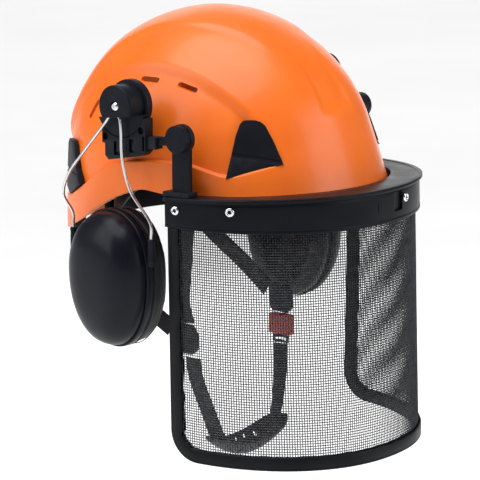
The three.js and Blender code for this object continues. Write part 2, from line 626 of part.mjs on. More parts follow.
// The wire's flat top lies inside the hub. Its legs leave the hub's foot, spread round the cup
// and run down each edge of it.
const SLEEVE = { u: 47, topV: 37, bottomV: 15, radius: 3.6, hole: 1.65, w: 5 };
const sleeveTop = (sign) => cupPoint(sign * SLEEVE.u, SLEEVE.topV, SLEEVE.w);
const sleeveBottom = (sign) => cupPoint(sign * SLEEVE.u, SLEEVE.bottomV, SLEEVE.w);
function yokeWire() {
  const legEnd = (sign) => cupPoint(sign * SLEEVE.u, SLEEVE.bottomV - 4, SLEEVE.w);
  const legKnee = (sign) => cupPoint(sign * SLEEVE.u, SLEEVE.topV + 12, SLEEVE.w);
  const points = [
    legEnd(-1), sleeveBottom(-1), sleeveTop(-1), legKnee(-1),
    vec(129.4, -15, -3), vec(132.4, -9, 22), vec(WIRE_LOOP.x, -8.6, 48), vec(WIRE_LOOP.x, -7, 56.4),
    vec(WIRE_LOOP.x, -3.2, WIRE_LOOP.z), vec(WIRE_LOOP.x, 1.4, WIRE_LOOP.z), vec(WIRE_LOOP.x, 4.6, 55),
    vec(WIRE_LOOP.x, 10, 48.6), vec(132, 31, 27), vec(130.4, 52, 4), vec(127, 61, -14), legKnee(1),
    sleeveTop(1), sleeveBottom(1), legEnd(1),
  ];
  return tube(points, WIRE_RADIUS, 8, 56);
}
function sleeveGeometry(sign) {
  const [top, bottom] = [sleeveTop(sign), sleeveBottom(sign)];
  const length = top.distanceTo(bottom);
  const barrel = new THREE.LatheGeometry([
    [SLEEVE.hole, 0], [SLEEVE.radius, 0], [SLEEVE.radius, length - 4], [SLEEVE.radius - 1, length], [SLEEVE.hole, length],
    [SLEEVE.hole, 0],
  ].map(([r, h]) => new THREE.Vector2(r, h)), 16);
  const up = top.clone().sub(bottom).normalize();
  const turn = new THREE.Quaternion().setFromUnitVectors(vec(0, 1, 0), up);
  return barrel.applyQuaternion(turn).translate(bottom.x, bottom.y, bottom.z);
}
// A thick disc with a flat, slightly tilted foot. Below the foot only the half-moon is left,
// turning in the slab's hollow.
function hubGeometry() {
  const c = HUB.chamfer;
  const length = HUB.outer - HUB.inner;
  const profilePoints = [[0, 0], [HUB.radius, 0], [HUB.radius, length - c], [HUB.radius - c, length], [4.2, length],
    [4.2, length - 2.4], [0, length - 2.4]];
  const body = new THREE.LatheGeometry(profilePoints.map(([r, h]) => new THREE.Vector2(r, h)), 40);
  body.rotateZ(-Math.PI / 2).translate(HUB.inner, HUB.y, HUB.z);
  const halfMoon = discX(SWIVEL.radius, HUB.inner, SWIVEL.outer, SWIVEL.y, HUB.z, 48);
  // A tall box whose lower or upper face lies along the foot.
  const atFoot = (x0, above) => {
    const block = box(x0, 150, -60, 60, above ? 0 : -60, above ? 60 : 0);
    return block.rotateX(-degrees(HUB.footTiltDeg)).translate(0, HUB.y, HUB.z - HUB.footDrop);
  };
  const wireSlot = box(WIRE_LOOP.x - 1.8, WIRE_LOOP.x + 4.6, -10.4, 9, 44, WIRE_LOOP.z + 1.8);
  const moon = combine(halfMoon, { cut: [atFoot(100, true)] });
  return combine(body, { cut: [atFoot(SWIVEL.outer, false), wireSlot], add: [moon] });
}
function screwGeometry() {
  const head = new THREE.LatheGeometry([[0, 0], [3.8, 0], [3.8, 1.2], [2.4, 2.4], [0, 2.7]]
    .map(([r, h]) => new THREE.Vector2(r, h)), 24);
  head.rotateZ(-Math.PI / 2).translate(HUB.outer - 2.4 + GAP, HUB.y, HUB.z);
  return combine(head, { cut: [discX(1.3, HUB.outer - 0.7, HUB.outer + 5, HUB.y, HUB.z, 6)] });
}

for (const [name, side] of Object.entries(SIDES)) {
  addPart(`muff_adapter_${name}`, forSide(adapterGeometry(), side), BLACK);
  addPart(`visor_arm_${name}`, forSide(armGeometry(), side), BLACK);
  addPart(`visor_link_${name}`, forSide(linkGeometry(), side), BLACK);
  addPart(`muff_hub_${name}`, forSide(hubGeometry(), side), BLACK);
  addPart(`hub_screw_${name}`, forSide(screwGeometry(), side), CHROME);
  addPart(`yoke_wire_${name}`, forSide(yokeWire(), side), STEEL);
  addPart(`sleeve_front_${name}`, forSide(sleeveGeometry(-1), side), BLACK);
  addPart(`sleeve_rear_${name}`, forSide(sleeveGeometry(1), side), BLACK);
  addPart(`ear_cup_${name}`, forSide(combine(cupDome(0), { cut: [cupDome(CUP.wall)] }), side), CUP_BLACK);
  const plateTop = -GAP;
  const plateLow = plateTop - CUP.plate;
  addPart(`cup_plate_${name}`, forSide(ringSolid(
    CUP.halfWidth, CUP.halfHeight, CUSHION.holeHalfWidth, CUSHION.holeHalfHeight, plateLow, plateTop, false,
  ), side), BLACK);
  addPart(`ear_cushion_${name}`, forSide(ringSolid(
    CUP.halfWidth, CUP.halfHeight, CUSHION.holeHalfWidth, CUSHION.holeHalfHeight,
    plateLow - GAP - CUSHION.thickness, plateLow - GAP, true,
  ), side), PAD_BLACK);
  const foamSize = [CUP.halfWidth - 8, CUP.halfHeight - 8];
  addPart(`ear_foam_${name}`, forSide(loft([
    cupOutline(...foamSize, 1, 28), cupOutline(...foamSize, 8, 28),
  ]), side), FOAM_GREY);
}

// ---------------------------------------------------------------- visor
// The visor surface: a superellipse in plan that leans forward towards its lower edge.
function visorPoint(turn, z, offset = 0) {
  const down = z / VISOR.bottomZ;
  const halfWidth = THREE.MathUtils.lerp(VISOR.topHalfWidth, VISOR.bottomHalfWidth, down) + offset;
  const depth = THREE.MathUtils.lerp(VISOR.topDepth, VISOR.bottomDepth, down) + offset;
  return vec(
    halfWidth * power(Math.cos(turn), VISOR.planPower),
    VISOR.backY - depth * Math.abs(Math.sin(turn)) ** VISOR.planPower,
    z,
  );
}

// Turns that space the columns evenly along the plan curve.
function visorTurns(count) {
  const fine = Array.from({ length: 721 }, (_, i) => (Math.PI * i) / 720);
  const length = [0];
  for (let i = 1; i < fine.length; i += 1) {
    length.push(length[i - 1] + visorPoint(fine[i], -100).distanceTo(visorPoint(fine[i - 1], -100)));
  }
  const total = length[length.length - 1];
  let i = 0;
  const turns = Array.from({ length: count + 1 }, (_, k) => {
    while (i + 1 < fine.length && length[i] < (total * k) / count) i += 1;
    return fine[i];
  });
  return { turns, total };
}
const PLAN = visorTurns(240);
const turnAt = (distance) => {
  const place = THREE.MathUtils.clamp(distance / PLAN.total, 0, 1) * 240;
  const i = Math.min(239, Math.floor(place));
  return THREE.MathUtils.lerp(PLAN.turns[i], PLAN.turns[i + 1], place - i);
};

// Lower edge of the visor at a distance along it, with rounded corners.
function lowerEdge(distance, inset) {
  const radius = VISOR.cornerRadius - inset;
  const fromEnd = Math.min(distance, PLAN.total - distance) - inset;
  const short = THREE.MathUtils.clamp(radius - fromEnd, 0, radius);
  return VISOR.bottomZ + inset + radius - Math.sqrt(radius ** 2 - short ** 2);
}
function columnsAlong(inset, cornerSteps, middleSteps) {
  const list = [];
  const radius = VISOR.cornerRadius - inset;
  for (let i = 0; i < cornerSteps; i += 1) list.push(inset + radius * (1 - Math.cos((Math.PI * i) / (2 * cornerSteps))));
  const [start, end] = [inset + radius, PLAN.total - inset - radius];
  for (let i = 0; i <= middleSteps; i += 1) list.push(THREE.MathUtils.lerp(start, end, i / middleSteps));
  for (let i = cornerSteps - 1; i >= 0; i -= 1) {
    list.push(PLAN.total - inset - radius * (1 - Math.cos((Math.PI * i) / (2 * cornerSteps))));
  }
  return list;
}

const MESH_INSET = TRIM.width - TRIM.grooveDepth + 1.4;
function visorMesh() {
  const half = MESH_THICKNESS / 2;
  const rows = columnsAlong(MESH_INSET, 6, 44).map((distance) => {
    const turn = turnAt(distance);
    const bottom = lowerEdge(distance, MESH_INSET);
    const at = (z, o) => visorPoint(turn, z, MESH_OFFSET + o);
    const top = browTop(visorPoint(turn, 0).y) - BROW.lipHeight - 1;
    return [at(bottom, half), at(top, half), at(top, -half), at(bottom, -half)];
  });
  return loft(rows);
}
addPart('visor_mesh', visorMesh(), MESH_GREY);

// The trim follows the edge: its path gives a point on the surface and the direction inwards.
function trimPath() {
  const radius = VISOR.cornerRadius;
  const top = -BROW.height - 1;
  const path = [];
  const add = (distance, z, inDistance, inZ) => path.push({ distance, z, inDistance, inZ });
  const bottom = VISOR.bottomZ;
  for (const z of [top, (top + bottom) / 2, bottom + radius + 1]) add(0, z, 1, 0);
  const corner = (sign, base) => (i) => {
    const angle = (Math.PI / 2) * (i / 7);
    return [base + sign * radius * (1 - Math.cos(angle)), bottom + radius * (1 - Math.sin(angle)),
      sign * Math.cos(angle), Math.sin(angle)];
  };
  const first = corner(1, 0);
  for (let i = 0; i <= 7; i += 1) add(...first(i));
  for (let i = 1; i < 40; i += 1) add(THREE.MathUtils.lerp(radius, PLAN.total - radius, i / 40), bottom, 0, 1);
  const second = corner(-1, PLAN.total);
  for (let i = 7; i >= 0; i -= 1) add(...second(i));
  for (const z of [bottom + radius + 1, (top + bottom) / 2, top]) add(PLAN.total, z, -1, 0);
  return path;
}
function visorTrim() {
  const half = TRIM.thickness / 2;
  const slot = TRIM.grooveWidth / 2;
  const wall = TRIM.width - TRIM.grooveDepth;
  const section = [
    [0, -half], [0, half], [TRIM.width, half], [TRIM.width, slot],
    [wall, slot], [wall, -slot], [TRIM.width, -slot], [TRIM.width, -half],
  ];
  const rows = trimPath().map((node) => section.map(([inward, out]) => (
    visorPoint(turnAt(node.distance + node.inDistance * inward), node.z + node.inZ * inward, MESH_OFFSET + out)
  )));
  return loft(rows, true);
}
addPart('visor_trim', visorTrim(), BLACK);

// Where a ray from the middle of the visor's back edge clears the shell, at the flange level.
function flangeInner(turn) {
  const outer = visorPoint(turn, 0);
  const direction = vec(outer.x, outer.y - VISOR.backY, 0).normalize();
  const [a, b] = [SHELL.halfWidth + BROW.shellGap, SHELL.halfLength + BROW.shellGap + 1.5];
  const underShell = (t) => {
    let [x, y] = [direction.x * t, VISOR.backY + direction.y * t];
    const inwards = 1 - brimOut(y, -3) / Math.hypot(x, y);
    [x, y] = [x * inwards, y * inwards];
    return Math.abs(x / a) ** (2 / SHELL.planPower) + Math.abs(y / b) ** (2 / SHELL.planPower) < 1;
  };
  let [low, high] = [0, 200];
  for (let i = 0; i < 40; i += 1) {
    const middle = (low + high) / 2;
    if (underShell(middle)) low = middle;
    else high = middle;
  }
  return vec(direction.x * low, VISOR.backY + direction.y * low, 0);
}
function browGuard() {
  const rows = [];
  for (let i = 0; i <= 48; i += 1) {
    const turn = turnAt((PLAN.total * i) / 48);
    const inner = flangeInner(turn);
    const at = (z, o) => visorPoint(turn, z, o);
    const top = browTop(at(0, 0).y);
    const innerTop = browTop(inner.y);
    rows.push([
      at(top, BROW.lip), at(top - BROW.lipHeight, BROW.lip), at(top - BROW.lipHeight, BROW.wallOut),
      at(-BROW.height, BROW.wallOut), at(-BROW.height, BROW.wallIn), at(top - 3, BROW.wallIn),
      vec(inner.x, inner.y, innerTop - 3), vec(inner.x, inner.y, innerTop),
    ]);
  }
  const pocket = new THREE.BoxGeometry(...POCKET.size).rotateZ(degrees(POCKET.yawDeg)).translate(...POCKET.at);
  return combine(loft(rows, true), { cut: [pocket] });
}
addPart('brow_guard', browGuard(), BLACK);

const RIVET_TURNS = { side_left: 4, front_left: 25, centre: 80, front_right: 155, side_right: 176 };
for (const [name, turnDeg] of Object.entries(RIVET_TURNS)) {
  const turn = degrees(turnDeg);
  const height = name.startsWith('side') ? RIVET.sideZ : RIVET.frontZ;
  const seat = visorPoint(turn, height, BROW.wallOut + GAP);
  const step = visorPoint(turn + 0.01, height).sub(visorPoint(turn - 0.01, height)).normalize();
  const outward = vec(-step.y, step.x, 0).multiplyScalar(-1);
  if (outward.dot(vec(seat.x, seat.y - VISOR.backY, 0)) < 0) outward.negate();
  const dome = new THREE.LatheGeometry([[0, 0], [RIVET.headRadius, 0], [RIVET.headRadius, 0.6],
    [RIVET.headRadius - 0.9, 1.4], [1.6, RIVET.headHeight], [0, RIVET.headHeight]]
    .map(([r, h]) => new THREE.Vector2(r, h)), 20);
  dome.applyQuaternion(new THREE.Quaternion().setFromUnitVectors(vec(0, 1, 0), outward)).translate(seat.x, seat.y, seat.z);
  addPart(`rivet_${name}`, dome, CHROME);
}

// ---------------------------------------------------------------- chin strap
// Webbing through hand-placed points; its flat side faces the direction given at each end.
function webbing(points, faceStart, faceEnd, steps, width = WEBBING.width, thickness = WEBBING.thickness) {
  const path = new THREE.CatmullRomCurve3(points, false, 'centripetal');
  const rows = [];
  for (let i = 0; i <= steps; i += 1) {
    const share = i / steps;
    const p = path.getPointAt(share);
    const along = path.getTangentAt(share);
    const face = faceStart.clone().lerp(faceEnd, share);
    const across = along.clone().cross(face).normalize().multiplyScalar(width / 2);
    const out = across.clone().cross(along).normalize().multiplyScalar(thickness / 2);
    rows.push([
      p.clone().add(across).add(out), p.clone().add(across).sub(out),
      p.clone().sub(across).sub(out), p.clone().sub(across).add(out),
    ]);
  }
  return loft(rows);
}
const ADJUSTER = { right: vec(66, -18, -135), left: vec(63, -17, -124) };
const OUTWARD = vec(1, 0, 0);
for (const [name, side] of Object.entries(SIDES)) {
  const middle = ADJUSTER[name];
  const front = webbing([
    vec(99, -47, 1), vec(96, -45, -20), vec(86, -34, -62), vec(middle.x + 5, middle.y - 1, middle.z + 30),
    vec(middle.x + 1.2, middle.y - 2, middle.z + 13.4),
  ], OUTWARD, OUTWARD, 12);
  addPart(`front_strap_${name}`, forSide(front, side), WEB_BLACK);
  const rear = webbing([
    vec(68, 100, -40), vec(71, 95, -56), vec(74, 72, -77),
    vec(middle.x + 4, middle.y + 44, middle.z + 24), vec(middle.x + 0.5, middle.y + 15.5, middle.z + 6),
  ], OUTWARD, OUTWARD, 14);
  addPart(`rear_strap_${name}`, forSide(rear, side), WEB_BLACK);
  const plate = plateX([[-12, 5], [-7, 12], [8, 12], [12.5, 8], [11, -10], [7, -13], [-7.5, -13], [-13, -8]], -2.2, 2.2);
  plate.translate(middle.x, middle.y, middle.z);
  addPart(`side_adjuster_${name}`, forSide(plate, side), BLACK);
}

// The plug buckle sits below the left adjuster: an open frame, a tongue and a press button.
const BUCKLE = { x: 62.5, y: -18, z: -147 };
const atBuckle = (geometry) => geometry.translate(BUCKLE.x, BUCKLE.y, BUCKLE.z);
addPart('buckle_frame', atBuckle(combine(box(-4, 4, -11.5, 11.5, -9.5, 8.2), {
  cut: [box(-2.4, 2.4, -8.6, 8.6, -12, 6), box(0, 6, -5.5, 5.5, -4.5, 4.5)],
})), BUCKLE_RED);
addPart('buckle_tongue', atBuckle(combine(box(-2, -0.4, -8.2, 8.2, -17, 5.6), {
  cut: [box(-3, 1, -6.6, 6.6, -15, -12.5)],
})), BLACK);
addPart('buckle_button', atBuckle(box(1.3, 4.8, -5.1, 5.1, -4.1, 4.1)), BLACK);

// Lower straps from the right adjuster and from the buckle's tongue to the chin cup.
const CHIN = { y: -30, tipX: 49, tipZ: -226, bottomZ: -247, halfWidth: 15.5, lip: 10, thickness: 2.4 };
addPart('lower_strap_right', forSide(webbing([
  vec(66, -25.5, -151.2), vec(62, -25, -168), vec(48, -28, -204), vec(39, CHIN.y, -226.5),
], OUTWARD, vec(0.8, 0, 0.6), 14), -1), WEB_BLACK);
addPart('lower_strap_left', webbing([
  vec(61.2, -18, -165), vec(58.5, -20, -185), vec(46, -27, -211.5), vec(38, CHIN.y, -224.8),
], OUTWARD, vec(0.8, 0, 0.6), 12), WEB_BLACK);

function chinCup() {
  const rows = [];
  const steps = 16;
  const across = 6;
  for (let i = 0; i <= steps; i += 1) {
    const share = THREE.MathUtils.lerp(-1, 1, i / steps);
    const spine = THREE.MathUtils.lerp(CHIN.bottomZ, CHIN.tipZ, share ** 2);
    const half = CHIN.halfWidth * Math.sqrt(1 - 0.92 * share ** 4);
    const lip = CHIN.lip * (1 - share ** 2) + 1;
    const at = (v, up) => vec(CHIN.tipX * share, CHIN.y + half * v, spine + lip * v * v + up);
    const lower = Array.from({ length: across + 1 }, (_, k) => at((2 * k) / across - 1, 0));
    const upper = Array.from({ length: across + 1 }, (_, k) => at(1 - (2 * k) / across, CHIN.thickness));
    rows.push([...lower, ...upper]);
  }
  const body = loft(rows, true);
  const holes = [-22, -11, 0, 11, 22].map((x) => (
    new THREE.CylinderGeometry(2, 2, 40, 10).rotateX(Math.PI / 2).translate(x, CHIN.y, CHIN.bottomZ + 9)
  ));
  return combine(body, { cut: holes });
}
addPart('chin_cup', chinCup(), CHIN_GREY);

export default group;
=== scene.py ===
"""Looks of the forestry helmet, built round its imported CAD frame. Metres, +Z up, wearer faces -Y."""
import json
import math
import random

import bmesh
import bpy
import numpy as np
from mathutils import Matrix, Vector

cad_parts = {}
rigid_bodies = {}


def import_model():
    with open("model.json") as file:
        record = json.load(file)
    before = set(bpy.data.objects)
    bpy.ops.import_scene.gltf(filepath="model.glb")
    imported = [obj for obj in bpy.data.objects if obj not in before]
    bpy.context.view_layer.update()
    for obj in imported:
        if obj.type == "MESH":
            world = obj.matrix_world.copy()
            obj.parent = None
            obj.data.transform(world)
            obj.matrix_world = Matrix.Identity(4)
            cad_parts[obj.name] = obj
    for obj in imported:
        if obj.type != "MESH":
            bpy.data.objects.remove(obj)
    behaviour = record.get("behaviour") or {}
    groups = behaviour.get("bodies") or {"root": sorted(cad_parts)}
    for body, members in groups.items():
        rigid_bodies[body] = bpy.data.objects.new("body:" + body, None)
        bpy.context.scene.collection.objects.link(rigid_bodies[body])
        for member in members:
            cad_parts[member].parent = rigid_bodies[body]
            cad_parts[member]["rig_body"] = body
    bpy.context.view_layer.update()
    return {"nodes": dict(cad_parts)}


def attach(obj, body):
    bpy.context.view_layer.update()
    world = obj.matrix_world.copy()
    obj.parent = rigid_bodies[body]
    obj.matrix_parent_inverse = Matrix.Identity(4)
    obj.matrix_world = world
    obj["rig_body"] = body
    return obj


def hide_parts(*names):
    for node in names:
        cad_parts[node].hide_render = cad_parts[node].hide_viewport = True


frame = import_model()
MM = 0.001
SIDES = {"left": 1, "right": -1}


# ------------------------------------------------------------------ meshes
def new_object(name, vertices, faces, material):
    mesh = bpy.data.meshes.new(name)
    mesh.from_pydata([tuple(v) for v in vertices], [], faces)
    mesh.validate()
    mesh.update()
    obj = bpy.data.objects.new(name, mesh)
    bpy.context.scene.collection.objects.link(obj)
    mesh.materials.append(material)
    return obj


def smooth(obj, angle=40):
    obj.data.polygons.foreach_set("use_smooth", [True] * len(obj.data.polygons))
    obj.data.set_sharp_from_angle(angle=math.radians(angle))
    return obj


def outward(obj):
    """Turns the faces of a closed mesh to point out of it."""
    bm = bmesh.new()
    bm.from_mesh(obj.data)
    bmesh.ops.recalc_face_normals(bm, faces=bm.faces)
    bm.to_mesh(obj.data)
    bm.free()
    return obj


def applied(obj):
    """Bakes an object's modifiers into its mesh."""
    bpy.context.view_layer.update()
    graph = bpy.context.evaluated_depsgraph_get()
    mesh = bpy.data.meshes.new_from_object(obj.evaluated_get(graph))
    old = obj.data
    obj.modifiers.clear()
    obj.data = mesh
    bpy.data.meshes.remove(old)
    return obj


def loft_mesh(rows, closed_rows=True, ring=False, caps=True, poles=(None, None)):
    """Vertices and faces from rows of points. A row is a closed loop or an open strip; the
    rows end in flat caps, in single points, or join up into a ring."""
    count = len(rows[0])
    vertices = [p for row in rows for p in row]
    faces = []
    last = len(rows) if ring else len(rows) - 1
    across = count if closed_rows else count - 1
    for i in range(last):
        a, b = i * count, ((i + 1) % len(rows)) * count
        for j in range(across):
            k = (j + 1) % count
            faces.append((a + j, a + k, b + k, b + j))
    if ring or not closed_rows:
        return vertices, faces
    for row, pole in ((0, poles[0]), (len(rows) - 1, poles[1])):
        start = row * count
        if pole is not None:
            vertices.append(pole)
            faces += [(len(vertices) - 1, start + (j + 1) % count, start + j) for j in range(count)]
        elif caps:
            faces.append(tuple(range(start, start + count)))
    return vertices, faces


def loft(name, rows, material, **kind):
    return outward(new_object(name, *loft_mesh(rows, **kind), material))


def mirrored(obj, name):
    """A copy of an object on the other side of the middle plane."""
    twin = bpy.data.objects.new(name, obj.data.copy())
    bpy.context.scene.collection.objects.link(twin)
    twin.data.transform(Matrix.Scale(-1, 4, (1, 0, 0)))
    twin.data.flip_normals()
    return twin


def place(obj, body, slot, *nodes):
    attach(obj, body)
    if nodes:
        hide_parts(*nodes)
    return obj


def bevelled(node, material, slot, width=0.5, segments=2, angle=32):
    """A piece of the CAD node's shape with its edges rounded."""
    source = frame["nodes"][node]
    mesh = source.data.copy()
    obj = bpy.data.objects.new(node + "_look", mesh)
    bpy.context.scene.collection.objects.link(obj)
    bm = bmesh.new()
    bm.from_mesh(mesh)
    bmesh.ops.remove_doubles(bm, verts=bm.verts, dist=2e-6)
    bmesh.ops.dissolve_limit(bm, angle_limit=math.radians(1.5), verts=bm.verts, edges=bm.edges)
    bm.to_mesh(mesh)
    bm.free()
    mesh.materials.clear()
    mesh.materials.append(material)
    edge = obj.modifiers.new("edge", "BEVEL")
    edge.limit_method = "ANGLE"
    edge.angle_limit = math.radians(angle)
    edge.width = width * MM
    edge.segments = segments
    edge.use_clamp_overlap = True
    applied(obj)
    smooth(obj, 42)
    return place(obj, source["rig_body"], slot, node)


def revolve(profile, count=64):
    """Rows of a lathe about +X: profile gives (distance along X, radius) in millimetres."""
    rows = []
    for x, r in profile:
        turn = [2 * math.pi * i / count for i in range(count)]
        rows.append([Vector((x, r * math.cos(t), r * math.sin(t))) * MM for t in turn])
    return rows


def tube_rows(path, radius, sides=12):
    """Rows of a round tube along points in metres."""
    points = [Vector(p) for p in path]
    rows = []
    normal = None
    for i, p in enumerate(points):
        along = (points[min(i + 1, len(points) - 1)] - points[max(i - 1, 0)]).normalized()
        if normal is None:
            normal = along.orthogonal().normalized()
        normal = (normal - along * normal.dot(along)).normalized()
        side = along.cross(normal)
        r = radius(i / (len(points) - 1)) if callable(radius) else radius
        rows.append([p + (normal * math.cos(t) + side * math.sin(t)) * r
                     for t in (2 * math.pi * k / sides for k in range(sides))])
    return rows


def curve_through(points, count):
    """Evenly spaced points on a smooth curve through a few (centripetal Catmull-Rom)."""
    p = [np.array(q, float) for q in points]
    p = [2 * p[0] - p[1]] + p + [2 * p[-1] - p[-2]]
    fine = []
    for i in range(1, len(p) - 2):
        knots = [0.0]
        for k in range(3):
            knots.append(knots[-1] + max(np.linalg.norm(p[i + k] - p[i + k - 1]) ** 0.5, 1e-6))
        for t in np.linspace(knots[1], knots[2], 24, endpoint=i == len(p) - 3):
            a = [(knots[k + 1] - t) / (knots[k + 1] - knots[k]) * p[i - 1 + k]
                 + (t - knots[k]) / (knots[k + 1] - knots[k]) * p[i + k] for k in range(3)]
            b = [(knots[k + 2] - t) / (knots[k + 2] - knots[k]) * a[k]
                 + (t - knots[k]) / (knots[k + 2] - knots[k]) * a[k + 1] for k in range(2)]
            fine.append((knots[2] - t) / (knots[2] - knots[1]) * b[0]
                        + (t - knots[1]) / (knots[2] - knots[1]) * b[1])
    fine = np.array(fine)
    run = np.concatenate([[0], np.cumsum(np.linalg.norm(np.diff(fine, axis=0), axis=1))])
    at = np.linspace(0, run[-1], count)
    return [Vector([np.interp(s, run, fine[:, k]) for k in range(3)]) for s in at]


# ------------------------------------------------------------------ materials
class Nodes:
    """A short way to wire a node material."""

    def __init__(self, name):
        self.material = bpy.data.materials.new(name)
        self.material.use_nodes = True
        self.tree = self.material.node_tree
        self.bsdf = self.tree.nodes["Principled BSDF"]
        coordinates = self.add("ShaderNodeTexCoord")
        self.place = coordinates.outputs["Object"]

    def add(self, kind, **settings):
        node = self.tree.nodes.new(kind)
        for key, value in settings.items():
            setattr(node, key, value)
        return node

    def link(self, out, into):
        self.tree.links.new(out, into)

    def noise(self, scale, detail=2.0, rough=0.5, stretch=None):
        node = self.add("ShaderNodeTexNoise")
        node.inputs["Scale"].default_value = scale
        node.inputs["Detail"].default_value = detail
        node.inputs["Roughness"].default_value = rough
        vector = self.place
        if stretch:
            mapping = self.add("ShaderNodeMapping")
            mapping.inputs["Scale"].default_value = stretch
            self.link(self.place, mapping.inputs["Vector"])
            vector = mapping.outputs["Vector"]
        self.link(vector, node.inputs["Vector"])
        return node.outputs["Fac"]

    def between(self, value, low, high, start=0.3, end=0.7):
        node = self.add("ShaderNodeMapRange")
        node.inputs["From Min"].default_value = start
        node.inputs["From Max"].default_value = end
        node.inputs["To Min"].default_value = low
        node.inputs["To Max"].default_value = high
        self.link(value, node.inputs["Value"])
        return node.outputs["Result"]

    def math(self, kind, a, b=None):
        node = self.add("ShaderNodeMath", operation=kind)
        for socket, value in zip(node.inputs, (a, b)):
            if value is None:
                continue
            if isinstance(value, (int, float)):
                socket.default_value = value
            else:
                self.link(value, socket)
        return node.outputs[0]

    def mix(self, share, a, b):
        node = self.add("ShaderNodeMix", data_type="RGBA")
        for socket, value in ((node.inputs[0], share), (node.inputs[6], a), (node.inputs[7], b)):
            if isinstance(value, tuple):
                socket.default_value = (*value, 1.0)
            elif isinstance(value, (int, float)):
                socket.default_value = value
            else:
                self.link(value, socket)
        return node.outputs[2]

    def bump(self, height, distance, strength=1.0, under=None):
        node = self.add("ShaderNodeBump")
        node.inputs["Strength"].default_value = strength
        node.inputs["Distance"].default_value = distance
        self.link(height, node.inputs["Height"])
        if under is not None:
            self.link(under, node.inputs["Normal"])
        return node.outputs["Normal"]

    def colour(self, out):
        self.link(out, self.bsdf.inputs["Base Color"])

    def rough(self, out):
        self.link(out, self.bsdf.inputs["Roughness"])

    def normal(self, out):
        self.link(out, self.bsdf.inputs["Normal"])


def moulded(name, dark, light, rough, grain=0.00002, grain_scale=2600, coat=0.0, wear=None, specular=0.5,
            ripple=0.35):
    """Moulded plastic: slow colour drift, uneven gloss, fine grain and rubbed edges."""
    n = Nodes(name)
    colour = n.mix(n.between(n.noise(28, 3), 0, 1), dark, light)
    if wear:
        edges = n.add("ShaderNodeNewGeometry").outputs["Pointiness"]
        rubbed = n.math("MULTIPLY", n.between(edges, 0, 1, 0.53, 0.62), n.between(n.noise(160, 4), 0.1, 1))
        colour = n.mix(n.math("MULTIPLY", rubbed, 0.45), colour, wear)
    n.colour(colour)
    scuffs = n.noise(420, 5, 0.65, stretch=(1, 1, 0.25))
    slow = n.between(n.noise(60, 3), rough - 0.05, rough + 0.05)
    n.rough(n.math("ADD", slow, n.between(scuffs, -0.02, 0.04)))
    fine = n.bump(n.noise(grain_scale, 2), grain)
    n.normal(n.bump(n.noise(90, 2), 0.00005, ripple, under=fine))
    n.bsdf.inputs["Coat Weight"].default_value = coat
    n.bsdf.inputs["Coat Roughness"].default_value = 0.12
    n.bsdf.inputs["Specular IOR Level"].default_value = specular
    return n.material


def metal(name, dark, light, rough, stretch=(1, 1, 1), scratches=0.00001):
    n = Nodes(name)
    n.bsdf.inputs["Metallic"].default_value = 1.0
    n.colour(n.mix(n.between(n.noise(220, 4, 0.6, stretch), 0, 1), dark, light))
    n.rough(n.between(n.noise(700, 4, 0.6, stretch), rough - 0.05, rough + 0.08))
    n.normal(n.bump(n.noise(1800, 3, 0.6, stretch), scratches))
    return n.material


def webbing_material(name):
    """Flat woven strap: ribs along and across, from the strap's own length and width in mm."""
    n = Nodes(name)
    uv = n.add("ShaderNodeUVMap", uv_map="weave").outputs["UV"]
    split = n.add("ShaderNodeSeparateXYZ")
    n.link(uv, split.inputs[0])
    across, along = split.outputs[0], split.outputs[1]
    ribs = n.math("ABSOLUTE", n.math("SINE", n.math("MULTIPLY", across, math.pi / 1.3)))
    steps = n.math("ABSOLUTE", n.math("SINE", n.math("MULTIPLY", along, math.pi / 0.9)))
    twill = n.math("SINE", n.math("MULTIPLY", n.math("ADD", across, along), 2 * math.pi / 1.8))
    weave = n.math("ADD", n.math("MULTIPLY", ribs, steps), n.math("MULTIPLY", twill, 0.25))
    drift = n.between(n.noise(70, 4), 0, 1)
    base = n.mix(drift, (0.006, 0.0055, 0.0075), (0.013, 0.0115, 0.0155))
    n.colour(n.mix(n.between(weave, 0, 0.55, 0.0, 1.1), base, (0.024, 0.021, 0.029)))
    n.rough(n.between(weave, 0.92, 0.74, 0.0, 1.0))
    fuzz = n.bump(n.noise(3800, 4, 0.7), 0.00006)
    n.normal(n.bump(weave, 0.00028, 0.9, under=fuzz))
    n.bsdf.inputs["Specular IOR Level"].default_value = 0.25
    n.bsdf.inputs["Sheen Weight"].default_value = 0.08
    n.bsdf.inputs["Sheen Roughness"].default_value = 0.5
    return n.material


def leather_material(name, dark, light, rough):
    """Thin synthetic leather: pebbled cells with creases between them."""
    n = Nodes(name)
    cells = n.add("ShaderNodeTexVoronoi", feature="DISTANCE_TO_EDGE")
    cells.inputs["Scale"].default_value = 760
    n.link(n.place, cells.inputs["Vector"])
    crease = n.between(cells.outputs["Distance"], 0, 1, 0.0, 0.25)
    n.colour(n.mix(n.between(n.noise(45, 3), 0, 1), dark, light))
    n.rough(n.math("SUBTRACT", rough + 0.12, n.math("MULTIPLY", crease, 0.12)))
    folds = n.bump(n.noise(95, 3), 0.0006, 0.35)
    n.normal(n.bump(crease, 0.00012, 0.6, under=folds))
    return n.material


def foam_material(name, dark, light):
    n = Nodes(name)
    cells = n.add("ShaderNodeTexVoronoi")
    cells.inputs["Scale"].default_value = 900
    n.link(n.place, cells.inputs["Vector"])
    # pore depth for the bump; the same mask darkens the colour in the pores, painted shade
    pore_depth_and_shade = n.between(cells.outputs["Distance"], 0, 1, 0.1, 0.6)
    n.colour(n.mix(n.math("MULTIPLY", pore_depth_and_shade, n.between(n.noise(130, 3), 0.5, 1)), light, dark))
    n.rough(n.between(n.noise(300, 3), 0.86, 0.98))
    n.normal(n.bump(pore_depth_and_shade, 0.0006, -0.8))
    return n.material


